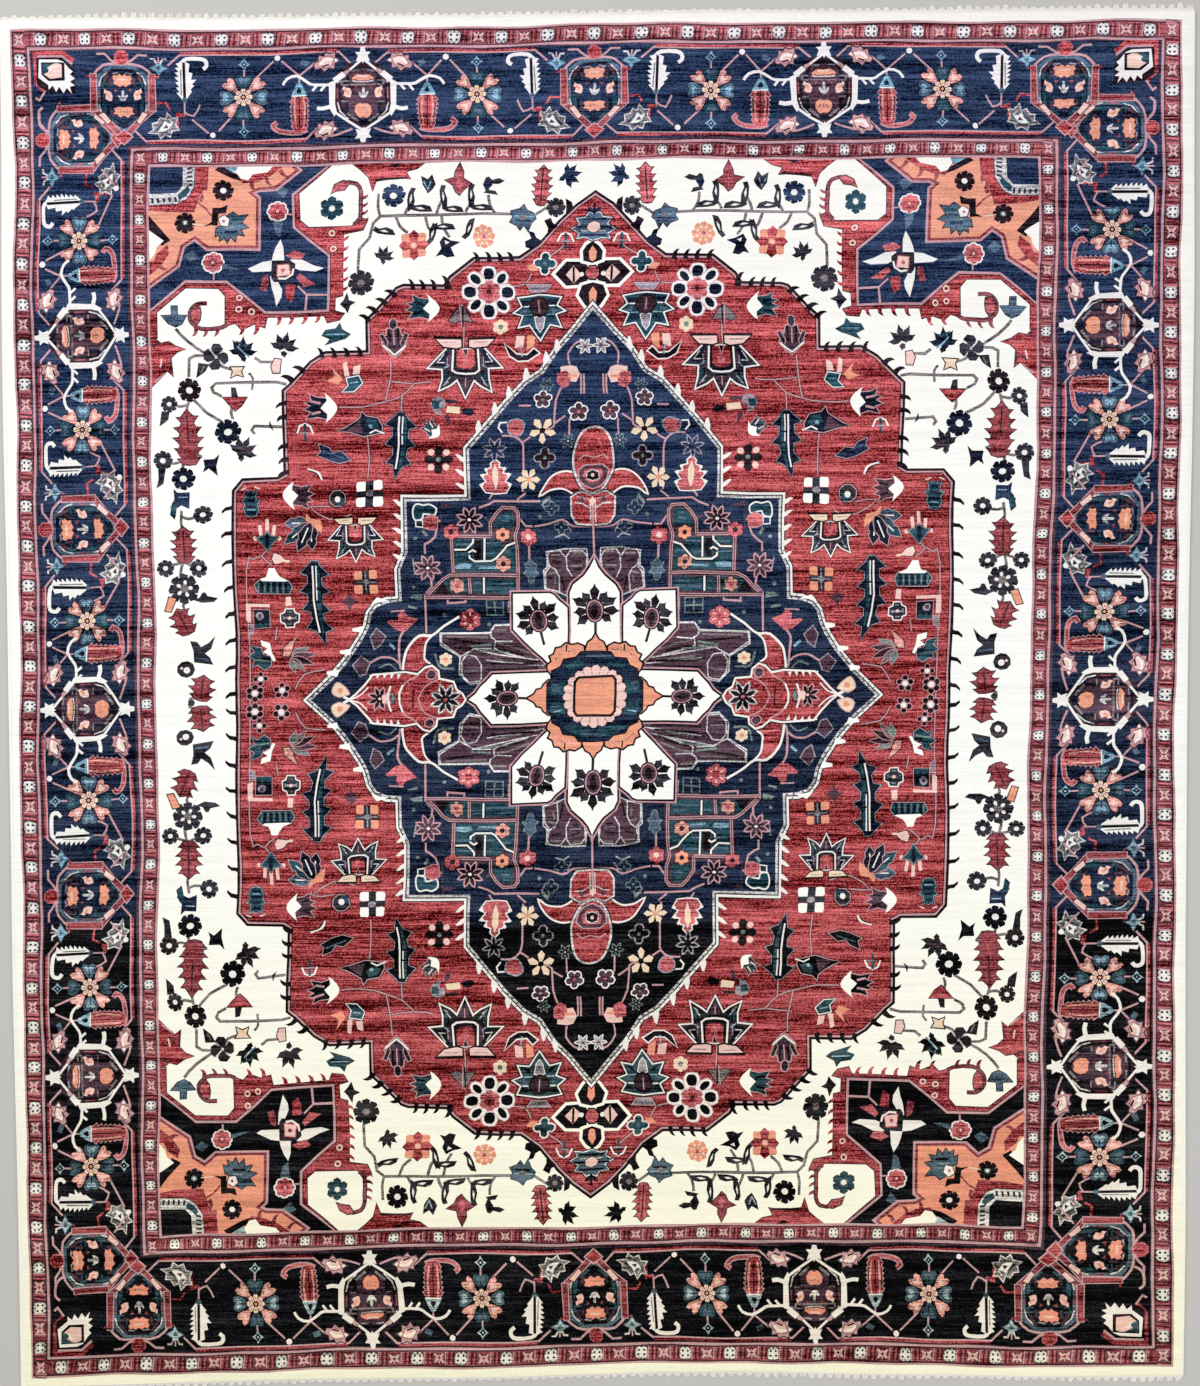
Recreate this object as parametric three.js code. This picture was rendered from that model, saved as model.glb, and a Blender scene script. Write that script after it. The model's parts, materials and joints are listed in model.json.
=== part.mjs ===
// Hand-knotted room-size rug, lying flat: one pile slab and two flat-woven ends with a worn fringe.
// Millimetres. +X runs across the rug, +Y along it, +Z up from the surface that it lies on.
import * as THREE from 'three';

// Driving sizes
const RUG_THICKNESS = 8;
const ROUNDED_EDGE = 2.5;
const EDGE_UNDERCUT = 0.8;
const SIDE_STEPS = 68;
const END_STEPS = 60;

// End finish: a narrow flat-woven strip, with warp ends worn to short locks
const PIECE_GAP = 0.3;
const WEB_WIDTH = 5;
const WEB_THICKNESS = 2.2;
const LOCKS_PER_END = 130;
const LOCK_SHARE_OF_PITCH = 0.8;
const LOCK_TIP_SHARE = 0.55;
const LOCK_UNEVENNESS = 5;
const SHORTEST_LOCK = 2.4;

// Where the long edges lie at places along the rug, with the middle of its pattern as zero
const SIDE_EDGES = [
  { y: -1420, left: -1215, right: 1226 },
  { y: -1105, left: -1215, right: 1228 },
  { y: -820, left: -1217, right: 1226 },
  { y: -540, left: -1219, right: 1224 },
  { y: -260, left: -1218, right: 1224 },
  { y: 25, left: -1218, right: 1224 },
  { y: 300, left: -1218, right: 1226 },
  { y: 580, left: -1220, right: 1230 },
  { y: 860, left: -1219, right: 1232 },
  { y: 1120, left: -1215, right: 1230 },
  { y: 1420, left: -1214, right: 1229 },
];

// Where the pile ends at places across the rug, and how far the worn fringe reaches past it
const END_EDGES = [
  { x: -1220, bottom: -1431, top: 1407, bottomReach: 12, topReach: 8 },
  { x: -950, bottom: -1424, top: 1406, bottomReach: 13, topReach: 15 },
  { x: -700, bottom: -1417, top: 1405, bottomReach: 11, topReach: 13.5 },
  { x: -450, bottom: -1414, top: 1407, bottomReach: 10.5, topReach: 12 },
  { x: -200, bottom: -1412, top: 1408, bottomReach: 9, topReach: 12 },
  { x: 0, bottom: -1406, top: 1411, bottomReach: 11, topReach: 13.5 },
  { x: 190, bottom: -1402, top: 1415, bottomReach: 12.5, topReach: 8.5 },
  { x: 370, bottom: -1403, top: 1414, bottomReach: 13.5, topReach: 9.5 },
  { x: 560, bottom: -1407, top: 1413, bottomReach: 16, topReach: 9.5 },
  { x: 750, bottom: -1410, top: 1414, bottomReach: 11, topReach: 13.5 },
  { x: 950, bottom: -1414, top: 1415, bottomReach: 12, topReach: 11.5 },
  { x: 1230, bottom: -1414, top: 1414, bottomReach: 15.5, topReach: 17 },
];

// Smooth curve through one column of a table, read at a place along its key column
function readTable(rows, key, column, at) {
  const last = rows.length - 2;
  let index = rows.findIndex((row) => row[key] > at) - 1;
  if (index < 0) {
    index = at < rows[0][key] ? 0 : last;
  }
  const slopeAt = (i) => {
    const before = rows[Math.max(i - 1, 0)];
    const after = rows[Math.min(i + 1, rows.length - 1)];
    return (after[column] - before[column]) / (after[key] - before[key]);
  };
  const from = rows[index];
  const to = rows[index + 1];
  const span = to[key] - from[key];
  const t = (at - from[key]) / span;
  const t2 = t * t;
  const t3 = t2 * t;
  return (2 * t3 - 3 * t2 + 1) * from[column] + (t3 - 2 * t2 + t) * span * slopeAt(index)
    + (3 * t2 - 2 * t3) * to[column] + (t3 - t2) * span * slopeAt(index + 1);
}

// Fixed unevenness between -0.5 and 0.5 for the lock of a given number
function uneven(number) {
  const wave = Math.sin(number * 12.9898) * 43758.5453;
  return wave - Math.floor(wave) - 0.5;
}

// The corners of the pile, where a side column and an end column meet
function cornerOf(side, end) {
  const sideSign = side === 'left' ? 0 : END_EDGES.length - 1;
  const endSign = end === 'bottom' ? 0 : SIDE_EDGES.length - 1;
  return { x: SIDE_EDGES[endSign][side], y: END_EDGES[sideSign][end] };
}

// Counter-clockwise outline of the pile, drawn in from its edge by an inset
function pileOutline(inset) {
  const bottomLeft = cornerOf('left', 'bottom');
  const bottomRight = cornerOf('right', 'bottom');
  const topRight = cornerOf('right', 'top');
  const topLeft = cornerOf('left', 'top');
  const points = [];
  const mix = (a, b, t) => a + (b - a) * t;
  for (let step = 0; step < END_STEPS; step += 1) {
    const x = mix(bottomLeft.x + inset, bottomRight.x - inset, step / END_STEPS);
    points.push(new THREE.Vector2(x, readTable(END_EDGES, 'x', 'bottom', x) + inset));
  }
  for (let step = 0; step < SIDE_STEPS; step += 1) {
    const y = mix(bottomRight.y + inset, topRight.y - inset, step / SIDE_STEPS);
    points.push(new THREE.Vector2(readTable(SIDE_EDGES, 'y', 'right', y) - inset, y));
  }
  for (let step = 0; step < END_STEPS; step += 1) {
    const x = mix(topRight.x - inset, topLeft.x + inset, step / END_STEPS);
    points.push(new THREE.Vector2(x, readTable(END_EDGES, 'x', 'top', x) - inset));
  }
  for (let step = 0; step < SIDE_STEPS; step += 1) {
    const y = mix(topLeft.y - inset, bottomLeft.y + inset, step / SIDE_STEPS);
    points.push(new THREE.Vector2(readTable(SIDE_EDGES, 'y', 'left', y) + inset, y));
  }
  return points;
}

// Closed body through a stack of like outlines, with the same flat face below and above
function stackedBody(layers, faceTriangles) {
  const count = layers[0].outline.length;
  const positions = [];
  for (const layer of layers) {
    for (const point of layer.outline) {
      positions.push(point.x, point.y, layer.z);
    }
  }
  const indices = [];
  for (let level = 0; level < layers.length - 1; level += 1) {
    const low = level * count;
    const high = low + count;
    for (let i = 0; i < count; i += 1) {
      const next = (i + 1) % count;
      indices.push(low + i, low + next, high + next);
      indices.push(low + i, high + next, high + i);
    }
  }
  const highest = (layers.length - 1) * count;
  for (const [a, b, c] of faceTriangles) {
    indices.push(c, b, a);
    indices.push(highest + a, highest + b, highest + c);
  }
  const geometry = new THREE.BufferGeometry();
  geometry.setAttribute('position', new THREE.Float32BufferAttribute(positions, 3));
  geometry.setIndex(indices);
  geometry.computeVertexNormals();
  return geometry;
}

// Foundation and pile with their overcast sides, in one solid with a rounded top edge
function makePile() {
  const shoulder = RUG_THICKNESS - ROUNDED_EDGE;
  const layers = [
    { outline: pileOutline(EDGE_UNDERCUT), z: 0 },
    { outline: pileOutline(0), z: EDGE_UNDERCUT * 2 },
    { outline: pileOutline(0), z: shoulder },
    { outline: pileOutline(ROUNDED_EDGE * 0.3), z: shoulder + ROUNDED_EDGE * 0.7 },
    { outline: pileOutline(ROUNDED_EDGE), z: RUG_THICKNESS },
  ];
  const geometry = stackedBody(layers, THREE.ShapeUtils.triangulateShape(layers[0].outline, []));
  const wool = new THREE.MeshStandardMaterial({ color: 0x7a3038, roughness: 0.95, metalness: 0 });
  const pile = new THREE.Mesh(geometry, wool);
  pile.name = 'knotted_pile';
  return pile;
}

// Root and tip points of the locks of one end, each read off the pile's own uneven end
function endLocks(end, outward, left, pitch) {
  const rootLine = (x) => readTable(END_EDGES, 'x', end, x) + outward * PIECE_GAP;
  const locks = [];
  for (let lock = 0; lock < LOCKS_PER_END; lock += 1) {
    const number = lock + (outward > 0 ? 0 : LOCKS_PER_END);
    const start = left + pitch * lock;
    const middle = start + pitch / 2;
    const root = pitch * LOCK_SHARE_OF_PITCH / 2;
    const tip = root * (LOCK_TIP_SHARE + 0.4 * uneven(number + 0.3));
    const lean = middle + root * 0.5 * uneven(number + 0.7);
    const reach = readTable(END_EDGES, 'x', `${end}Reach`, middle) + LOCK_UNEVENNESS * uneven(number);
    const length = Math.max(reach, WEB_WIDTH + SHORTEST_LOCK);
    const webY = rootLine(middle) + outward * WEB_WIDTH;
    const tipY = rootLine(middle) + outward * length;
    locks.push({
      start: new THREE.Vector2(start, rootLine(start)),
      leftRoot: new THREE.Vector2(middle - root, webY),
      leftTip: new THREE.Vector2(lean - tip, tipY),
      rightTip: new THREE.Vector2(lean + tip, tipY),
      rightRoot: new THREE.Vector2(middle + root, webY),
    });
  }
  const right = left + pitch * LOCKS_PER_END;
  return { locks, end: new THREE.Vector2(right, rootLine(right)) };
}

// One flat-woven end strip and its locks, level on the surface
function makeEndStrip(end) {
  const outward = end === 'top' ? 1 : -1;
  const left = cornerOf('left', end).x + EDGE_UNDERCUT;
  const right = cornerOf('right', end).x - EDGE_UNDERCUT;
  const row = endLocks(end, outward, left, (right - left) / LOCKS_PER_END);
  const outline = [...row.locks.map((lock) => lock.start), row.end];
  for (const lock of row.locks.toReversed()) {
    outline.push(lock.rightRoot, lock.rightTip, lock.leftTip, lock.leftRoot);
  }
  const triangles = [];
  for (let lock = 0; lock < LOCKS_PER_END; lock += 1) {
    const start = lock;
    const rightRoot = LOCKS_PER_END + 1 + 4 * (LOCKS_PER_END - 1 - lock);
    const [rightTip, leftTip, leftRoot] = [rightRoot + 1, rightRoot + 2, rightRoot + 3];
    triangles.push([start, start + 1, rightRoot], [start, rightRoot, leftRoot]);
    triangles.push([leftRoot, rightRoot, rightTip], [leftRoot, rightTip, leftTip]);
    if (lock > 0) {
      triangles.push([start, leftRoot, leftRoot + 1]);
    }
  }
  if (outward < 0) {
    const last = outline.length - 1;
    outline.reverse();
    triangles.forEach((corners, i) => {
      triangles[i] = corners.map((corner) => last - corner).reverse();
    });
  }
  const geometry = stackedBody([{ outline, z: 0 }, { outline, z: WEB_THICKNESS }], triangles);
  const warp = new THREE.MeshStandardMaterial({ color: 0xe9e2d2, roughness: 0.95, metalness: 0 });
  const strip = new THREE.Mesh(geometry, warp);
  strip.name = `${end}_end_fringe`;
  return strip;
}

// The whole rug, moved so that its box is centred on the origin and stands on it
const rug = new THREE.Group();
rug.add(makePile(), makeEndStrip('top'), makeEndStrip('bottom'));
const box = new THREE.Box3().setFromObject(rug);
rug.position.x = -(box.min.x + box.max.x) / 2;
rug.position.y = -(box.min.y + box.max.y) / 2;
rug.updateMatrixWorld(true);

export default rug;
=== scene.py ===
"""Looks of a hand-knotted wool rug that lies flat.

The pattern is a chart of flat coloured areas, counted in knots from the middle of the
medallion. Later areas lie over earlier ones. One triangulation joins them all into the pile's
surface, and each triangle is knotted in the dye of its topmost area.
"""

import json
import math
from collections import namedtuple

import bpy
import numpy as np
from mathutils import Euler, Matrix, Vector
from mathutils.geometry import delaunay_2d_cdt

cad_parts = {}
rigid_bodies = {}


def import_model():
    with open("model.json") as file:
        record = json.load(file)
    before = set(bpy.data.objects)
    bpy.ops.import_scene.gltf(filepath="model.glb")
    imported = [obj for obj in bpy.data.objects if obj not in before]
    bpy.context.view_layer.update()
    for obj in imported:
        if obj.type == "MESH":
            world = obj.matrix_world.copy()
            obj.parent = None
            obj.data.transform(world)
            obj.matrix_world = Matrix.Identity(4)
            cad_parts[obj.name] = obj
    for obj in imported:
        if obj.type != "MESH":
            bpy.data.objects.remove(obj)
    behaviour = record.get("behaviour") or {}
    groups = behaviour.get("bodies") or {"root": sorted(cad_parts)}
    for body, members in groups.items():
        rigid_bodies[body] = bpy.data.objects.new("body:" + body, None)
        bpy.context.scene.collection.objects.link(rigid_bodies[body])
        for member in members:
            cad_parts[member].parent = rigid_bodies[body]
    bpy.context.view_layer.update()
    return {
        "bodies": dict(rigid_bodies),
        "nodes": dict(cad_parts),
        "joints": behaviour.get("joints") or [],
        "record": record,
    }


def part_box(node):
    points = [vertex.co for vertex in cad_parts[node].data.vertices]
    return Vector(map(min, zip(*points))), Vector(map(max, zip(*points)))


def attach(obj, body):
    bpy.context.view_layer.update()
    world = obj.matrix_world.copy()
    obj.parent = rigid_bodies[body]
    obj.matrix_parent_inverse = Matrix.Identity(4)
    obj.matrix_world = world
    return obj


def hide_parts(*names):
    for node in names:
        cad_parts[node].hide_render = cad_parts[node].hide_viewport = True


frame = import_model()


# Drawing kit: painted areas of the pattern in knots, u to the right and v up from the medallion's middle
AREAS = []
SHARPEST_EDGE = 0.45
SHARPEST_BEND = 0.5
ON_MIDDLE = 0.01
DOT_TURN = 22
EVERYWHERE = [(1, 1), (-1, 1), (1, -1), (-1, -1)]
UP_AND_DOWN = [(1, 1), (1, -1)]
SIDEWAYS = [(1, 1), (-1, 1)]


def grown(points, width):
    """The polygon with its edge moved out by a width."""
    count = len(points)
    turning = sum(points[i - 1][0] * points[i][1] - points[i][0] * points[i - 1][1] for i in range(count))
    out = math.copysign(width, turning)
    moved = []
    for i, (u, v) in enumerate(points):
        du1, dv1 = direction(points[i - 1], (u, v))
        du2, dv2 = direction((u, v), points[(i + 1) % count])
        sharp = max(1 + du1 * du2 + dv1 * dv2, SHARPEST_EDGE)
        moved.append((u + out * (dv1 + dv2) / sharp, v - out * (du1 + du2) / sharp))
    return moved


def direction(start, end):
    """Unit step from one point to another."""
    du = end[0] - start[0]
    dv = end[1] - start[1]
    length = math.hypot(du, dv) or 1.0
    return du / length, dv / length


def ribbon(points, width):
    """A line of a width along points, as a polygon."""
    left = []
    right = []
    for i, (u, v) in enumerate(points):
        du1, dv1 = direction(points[max(i - 1, 0)], points[max(i, 1)])
        du2, dv2 = direction(points[min(i, len(points) - 2)], points[min(i + 1, len(points) - 1)])
        sharp = max(1 + du1 * du2 + dv1 * dv2, SHARPEST_BEND)
        across_u = -(dv1 + dv2) / sharp * width / 2
        across_v = (du1 + du2) / sharp * width / 2
        left.append((u + across_u, v + across_v))
        right.append((u - across_u, v - across_v))
    return left + right[::-1]


def arc(u, v, radius, start, end, steps=6, flat=1.0):
    """Points on a round or flattened arc, with angles in degrees."""
    points = []
    for step in range(steps + 1):
        angle = math.radians(start + (end - start) * step / steps)
        points.append((u + radius * math.cos(angle), v + radius * flat * math.sin(angle)))
    return points


class Pen:
    """Paints areas and lines at a place, turned, sized and mirrored."""

    def __init__(self, axes=(1.0, 0.0, 0.0, 1.0), origin=(0.0, 0.0)):
        self.axes = axes
        self.origin = origin

    def at(self, u, v, turn=0.0, size=1.0, mirror=1):
        """A pen inside this one."""
        cosine = math.cos(math.radians(turn)) * size
        sine = math.sin(math.radians(turn)) * size
        a, b, c, d = self.axes
        axes = (
            (a * cosine + b * sine) * mirror,
            -a * sine + b * cosine,
            (c * cosine + d * sine) * mirror,
            -c * sine + d * cosine,
        )
        return Pen(axes, self.spot(u, v))

    def spot(self, u, v):
        """Where a point of this pen lies on the rug."""
        a, b, c, d = self.axes
        return self.origin[0] + a * u + b * v, self.origin[1] + c * u + d * v

    def area(self, dye, points, *rims):
        """A filled area, with rims given from the outside in as dye and width."""
        for rim_dye, width in rims:
            AREAS.append((rim_dye, [self.spot(u, v) for u, v in grown(points, width)]))
        AREAS.append((dye, [self.spot(u, v) for u, v in points]))

    def both(self, dye, half, *rims):
        """A filled area mirrored about this pen's own upright line."""
        self.area(dye, half + [(-u, v) for u, v in reversed(half) if u > ON_MIDDLE], *rims)

    def line(self, dye, points, width=2.0):
        """A line of even width."""
        self.area(dye, ribbon(points, width))

    def dot(self, dye, u, v, radius, flat=1.0, sides=8, *rims):
        """A round spot."""
        self.area(dye, arc(u, v, radius, DOT_TURN, DOT_TURN + 360 - 360 / sides, sides - 1, flat), *rims)

    def twins(self, *shapes):
        """Areas and lines on both sides, given for the right side.

        An area is its dye, its points and any rims. A line is its dye, its points and its width.
        """
        for side in (1, -1):
            for dye, points, *more in shapes:
                placed = [(u * side, v) for u, v in points]
                if more and not isinstance(more[0], tuple):
                    self.line(dye, placed, *more)
                else:
                    self.area(dye, placed, *more)


def upper_to_whole(upper):
    """A closed outline from its upper half."""
    return upper + [(u, -v) for u, v in reversed(upper) if v > ON_MIDDLE]


def quarter_to_whole(quarter):
    """A closed outline from its quarter that runs from the right to the top."""
    up = quarter + [(-u, v) for u, v in reversed(quarter) if u > ON_MIDDLE]
    return up + [(u, -v) for u, v in reversed(up) if v > ON_MIDDLE]


def pens(places):
    """Pens for mirrored copies about the medallion's middle."""
    return [Pen((float(side), 0.0, 0.0, float(end))) for side, end in places]


def smooth(points, steps=3):
    """A soft curve through a few points."""
    soft = []
    last = len(points) - 1
    for i in range(last):
        before = points[max(i - 1, 0)]
        after = points[min(i + 2, last)]
        for step in range(steps):
            t = step / steps
            soft.append(tuple(
                0.5 * (2 * q + (r - p) * t + (2 * p - 5 * q + 4 * r - s) * t * t
                       + (3 * q - p - 3 * r + s) * t * t * t)
                for p, q, r, s in zip(before, points[i], points[i + 1], after)
            ))
    return soft + [points[last]]


# Flowers and leaves that recur, each drawn about its own middle with its top upwards
def toothed_leaf(pen, length, width, teeth, dye="rust"):
    """Upright leaf with pointed teeth on both sides and a light vein."""
    pitch = length / teeth
    half = [(0, -length / 2)]
    for tooth in range(teeth):
        share = (tooth + 0.5) / teeth
        reach = width * (0.62 + 0.38 * math.sin(math.pi * share))
        v = -length / 2 + 0.92 * length * share
        half += [(reach * 0.55, v - 0.36 * pitch), (reach * 0.72, v - 0.1 * pitch),
                 (reach, v + 0.2 * pitch), (reach * 0.6, v + 0.2 * pitch)]
    half.append((0, length / 2))
    pen.both(dye, half, ("umber", 0.9))
    pen.twins(("madder", [(3.4, -0.3 * length), (4.2, 0.24 * length)], 2.6))
    pen.line("umber", [(0, -0.42 * length), (0, 0.4 * length)], 1.4)


LEAF_PALMETTE = [(0, 17), (34, 13), (-34, 14), (62, 17), (-62, 16), (96, 14), (-96, 16), (128, 15),
                 (-128, 13)]


def leaf_palmette(pen):
    """Plum heart with a ring of dark leaves round it."""
    for i, (turn, length) in enumerate(LEAF_PALMETTE):
        leaf = pen.at(0, 0, turn).at(0, 5.5)
        leaf.both("charcoal" if i % 3 else "dark",
                  [(0, 0), (2.6, length * 0.3), (4.2, length * 0.62), (1.2, length * 0.82), (0, length)])
    pen.area("dark", arc(0, -1, 8.6, 0, 330, 11, 1.3))
    pen.area("plum", arc(0, -1, 6.2, 0, 330, 11, 1.4), ("pink", 1.1))
    pen.both("dark", [(0, -8), (3.4, -2), (2, 4), (0, 6)])
    pen.line("umber", [(0, -12), (0, -24)], 2.4)


def small_rosette(pen, dye="rose", heart="madder", size=1.0, rim=None):
    """Small flower of six round petals."""
    own = pen.at(0, 0, 0, size)
    if rim:
        own.dot(rim, 0, 0, 10.5, 1.0, 12)
    for i in range(6):
        own.at(0, 0, 60 * i).dot(dye, 0, 5.6, 3.6, 1.0, 6)
    own.dot(dye, 0, 0, 5.5, 1.0, 6)
    own.dot(heart, 0, 0, 3.2, 1.0, 6)


MEDALLION_EDGE = [
    (284, 0), (262, 20), (250, 35), (240, 48), (230, 62), (225, 73), (222, 86), (217, 93), (207, 97),
    (192, 98), (192, 129), (185, 146), (185, 198), (122, 198), (122, 249), (100, 276), (85, 294),
    (66, 314), (50, 324), (35, 346), (20, 362), (0, 386),
]


def stitches(pen, start, end):
    """Short dark strokes across the pale double line of a slanting edge."""
    across, up = direction(start, end)
    count = int(math.hypot(end[0] - start[0], end[1] - start[1]) / 6)
    for number in range(count):
        u = start[0] + (end[0] - start[0]) * (number + 0.5) / count
        v = start[1] + (end[1] - start[1]) * (number + 0.5) / count
        pen.line("umber", [(u + up * 0.4, v - across * 0.4),
                           (u + up * 2.2 - across, v - across * 2.2 - up)], 1.3)
        pen.line("stone", [(u + up * 4.2 + across * 2, v - across * 4.2 + up * 2),
                           (u + up * 5.6 + across, v - across * 5.6 + up)], 1.2)


def medallion_ground(rug):
    """Navy ground with its stepped white edge and outward ticks."""
    edge = quarter_to_whole(MEDALLION_EDGE)
    rug.area("navy", edge, ("umber", 7.2), ("white", 6.0), ("dark", 3.6), ("silver", 2.4))
    for pen in pens(EVERYWHERE):
        for start, end in zip(MEDALLION_EDGE, MEDALLION_EDGE[1:]):
            if start[0] != end[0] and start[1] != end[1]:
                stitches(pen, start, end)
        for u, v in [(36, 350), (48, 338), (67, 322), (84, 304), (98, 288), (113, 270)]:
            pen.area("white", [(u - 4, v), (u + 2, v - 6), (u + 3, v + 1), (u + 1, v + 9), (u - 1, v + 8)])
        for u, v in [(232, 70), (246, 47), (259, 26)]:
            pen.area("ivory", [(u - 3, v + 4), (u - 1, v - 3), (u + 9, v - 1), (u + 9, v + 2)])
        for v in (141, 154, 168, 182, 195):
            pen.area("white", [(189, v - 4), (194, v - 1), (199, v + 4), (196, v + 4.5), (189, v + 1)])
        for v in (212, 226, 240):
            pen.area("white", [(127, v - 4), (132, v - 1), (137, v + 4), (134, v + 4.5), (127, v + 1)])
        pen.area("ivory", [(205, 99), (222, 97), (217, 103)])


def medallion_heart(rug):
    """Peach square in its blush and teal rings, with eight peach lobes round them."""
    for pen in pens(UP_AND_DOWN):
        pen.both("peach", [(0, 62), (3, 57), (8, 54), (10.5, 48), (11, 40), (0, 40)], ("dark", 1.8))
    for pen in pens(SIDEWAYS):
        pen.at(0, 0, -90).both("peach", [(0, 67), (4, 60), (8, 58), (9, 53), (13, 51), (17, 46), (17, 40),
                                         (0, 40)], ("dark", 1.8))
    for pen in pens(EVERYWHERE):
        pen.area("peach", [(12, 40), (13, 50), (19, 53), (24, 52), (30, 54), (34, 50), (39, 49), (41, 43),
                           (45, 41), (43, 36), (47, 32), (46, 27), (40, 20), (20, 36)], ("dark", 1.8))
        pen.line("salmon", [(16, 47), (24, 47), (34, 44), (40, 38)], 1.6)
        pen.line("dark", [(29, 53), (29, 46)], 1.3)
    frame = quarter_to_whole([(47, 0), (47, 14), (42, 18), (42, 26), (34, 30), (31, 37), (19, 39), (15, 44),
                             (0, 45)])
    rug.area("navy", frame, ("dark", 1.4))
    rug.twins(
        ("teal", [(29, 17), (44, 12), (44, 3), (30, 2)]),
        ("teal", [(30, -6), (44, -4), (44, -14), (40, -19), (28, -18)]),
        ("teal", [(4, -31), (24, -28), (32, -31), (18, -39), (4, -42)]),
        ("teal", [(10, 33), (26, 27), (30, 31), (17, 38)]),
        ("slate", [(35, 13), (43, 13)], 2.2),
        ("slate", [(33, 6), (42, 7)], 1.4),
        ("slate", [(34, -9), (43, -9)], 1.6),
        ("sky", [(32, -14), (41, -15)], 1.2),
    )
    rug.line("slate", [(-14, -38), (12, -39)], 1.8)
    rug.line("slate", [(-10, 41), (16, 41)], 1.6)
    for dye, radius in (("umber", 5.2), ("blush", 4.3)):
        for i in range(20):
            rug.at(0, 0, 18 * i).dot(dye, 0, 27.5, radius, 1.0, 7)
    rug.dot("blush", 0, 0, 29, 1.0, 20)
    for i in range(20):
        rug.at(0, 0, 18 * i + 9).line("salmon", [(0, 22), (0, 29.5)], 1.2)
    square = quarter_to_whole([(18.5, 0), (18.5, 15), (16, 18.5), (0, 18.5)])
    rug.area("peach", square, ("dark", 2.6))


TOP_PETAL = [(0, 139), (4, 130), (10, 122), (21, 113), (25, 105), (25, 46), (0, 46)]
SIDE_PETAL = [(60, 0), (46, 12), (44, 20), (45, 25), (102, 25), (108, 18), (113, 13), (118, 6), (126, 0)]
SLANT_PETAL = [
    (28.5, 44), (28.5, 91), (38, 98), (42, 103), (46, 105), (82, 105), (82, 69), (70, 57), (59, 47),
    (53, 41), (44, 32), (36, 40),
]


def medallion_petals(rug):
    """Eight ivory petals over plum ones, each with its leaf palmette."""
    for pen in pens(EVERYWHERE):
        pen.area("plum", [(26, 60), (26, 102), (40, 108), (50, 110), (50, 128), (44, 133), (47, 146),
                          (28, 149), (8, 149), (6, 128), (0, 120)], ("silver", 1.4))
        pen.area("plum", [(44, 27), (104, 27), (112, 18), (124, 16), (134, 26), (134, 42), (154, 54),
                          (154, 65), (104, 65), (100, 73), (84, 73), (60, 46)], ("silver", 1.4))
        for points in ([(8, 124), (7, 142), (12, 148), (23, 148), (27, 142), (27, 130), (22, 121)],
                       [(28, 141), (33, 148), (44, 148), (47, 142), (47, 131)],
                       [(36, 104), (35, 122), (39, 129), (44, 132), (49, 126), (50, 110)],
                       [(82, 58), (98, 57), (104, 61), (105, 67), (101, 73), (85, 73)],
                       [(100, 58), (101, 50), (88, 46), (66, 40)],
                       [(104, 65), (153, 65), (154, 56), (134, 42), (120, 50), (104, 50)],
                       [(56, 38), (80, 42), (100, 45), (122, 50)],
                       [(113, 20), (113, 34), (119, 43), (128, 44), (133, 37), (132, 25), (125, 17),
                        (113, 19)], [(50, 32), (76, 35), (108, 39)]):
            pen.line("silver", points, 1.3)
        for points in ([(60, 34), (104, 36)], [(56, 29.5), (108, 30)], [(70, 44), (98, 50)],
                       [(13, 128), (20, 128)], [(12, 136), (22, 138)], [(33, 136), (42, 138)],
                       [(108, 54), (146, 60)], [(30, 108), (33, 122)]):
            pen.line("dark", points, 2.2)
        for points in ([(12, 146), (21, 146)], [(11, 132), (23, 132)], [(32, 144), (43, 144)],
                       [(38, 126), (46, 124)], [(64, 46), (84, 53), (98, 55)], [(108, 61), (148, 62)],
                       [(72, 36), (100, 40)], [(116, 28), (130, 28)], [(40, 114), (39, 122)],
                       [(88, 68), (101, 68)]):
            pen.line("stone", points, 2.0)
        pen.line("sage", [(104, 54), (124, 52)], 2.4)
        pen.line("sage", [(86, 47), (112, 49)], 1.6)
    for pen in pens(SIDEWAYS):
        pen.area("ivory", upper_to_whole(SIDE_PETAL),
                 ("pink", 3.6), ("dark", 2.0))
        leaf_palmette(pen.at(88, 0, -90, 1.0))
    for pen in pens(UP_AND_DOWN):
        pen.both("ivory", TOP_PETAL, ("pink", 3.6), ("dark", 2.0))
        leaf_palmette(pen.at(0, 88, 0, 1.18))
    for pen in pens(EVERYWHERE):
        pen.area("ivory", SLANT_PETAL, ("pink", 3.4), ("dark", 1.8))
        leaf_palmette(pen.at(57, 79, -14, 1.08))


def outlined_rosette(pen, size=1.0, ground="plum", heart="blush", rim="white", petals=5):
    """Dark flower with pale petal edges."""
    own = pen.at(0, 0, 0, size)
    for i in range(petals):
        own.at(0, 0, 360 / petals * i).dot(rim, 0, 6, 5, 1.0, 7)
    for i in range(petals):
        own.at(0, 0, 360 / petals * i).dot(ground, 0, 6, 3.5, 1.0, 7)
    own.dot(ground, 0, 0, 5.5, 1.0, 8)
    own.dot(heart, 0, 0, 1.8, 1.0, 6)


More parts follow.
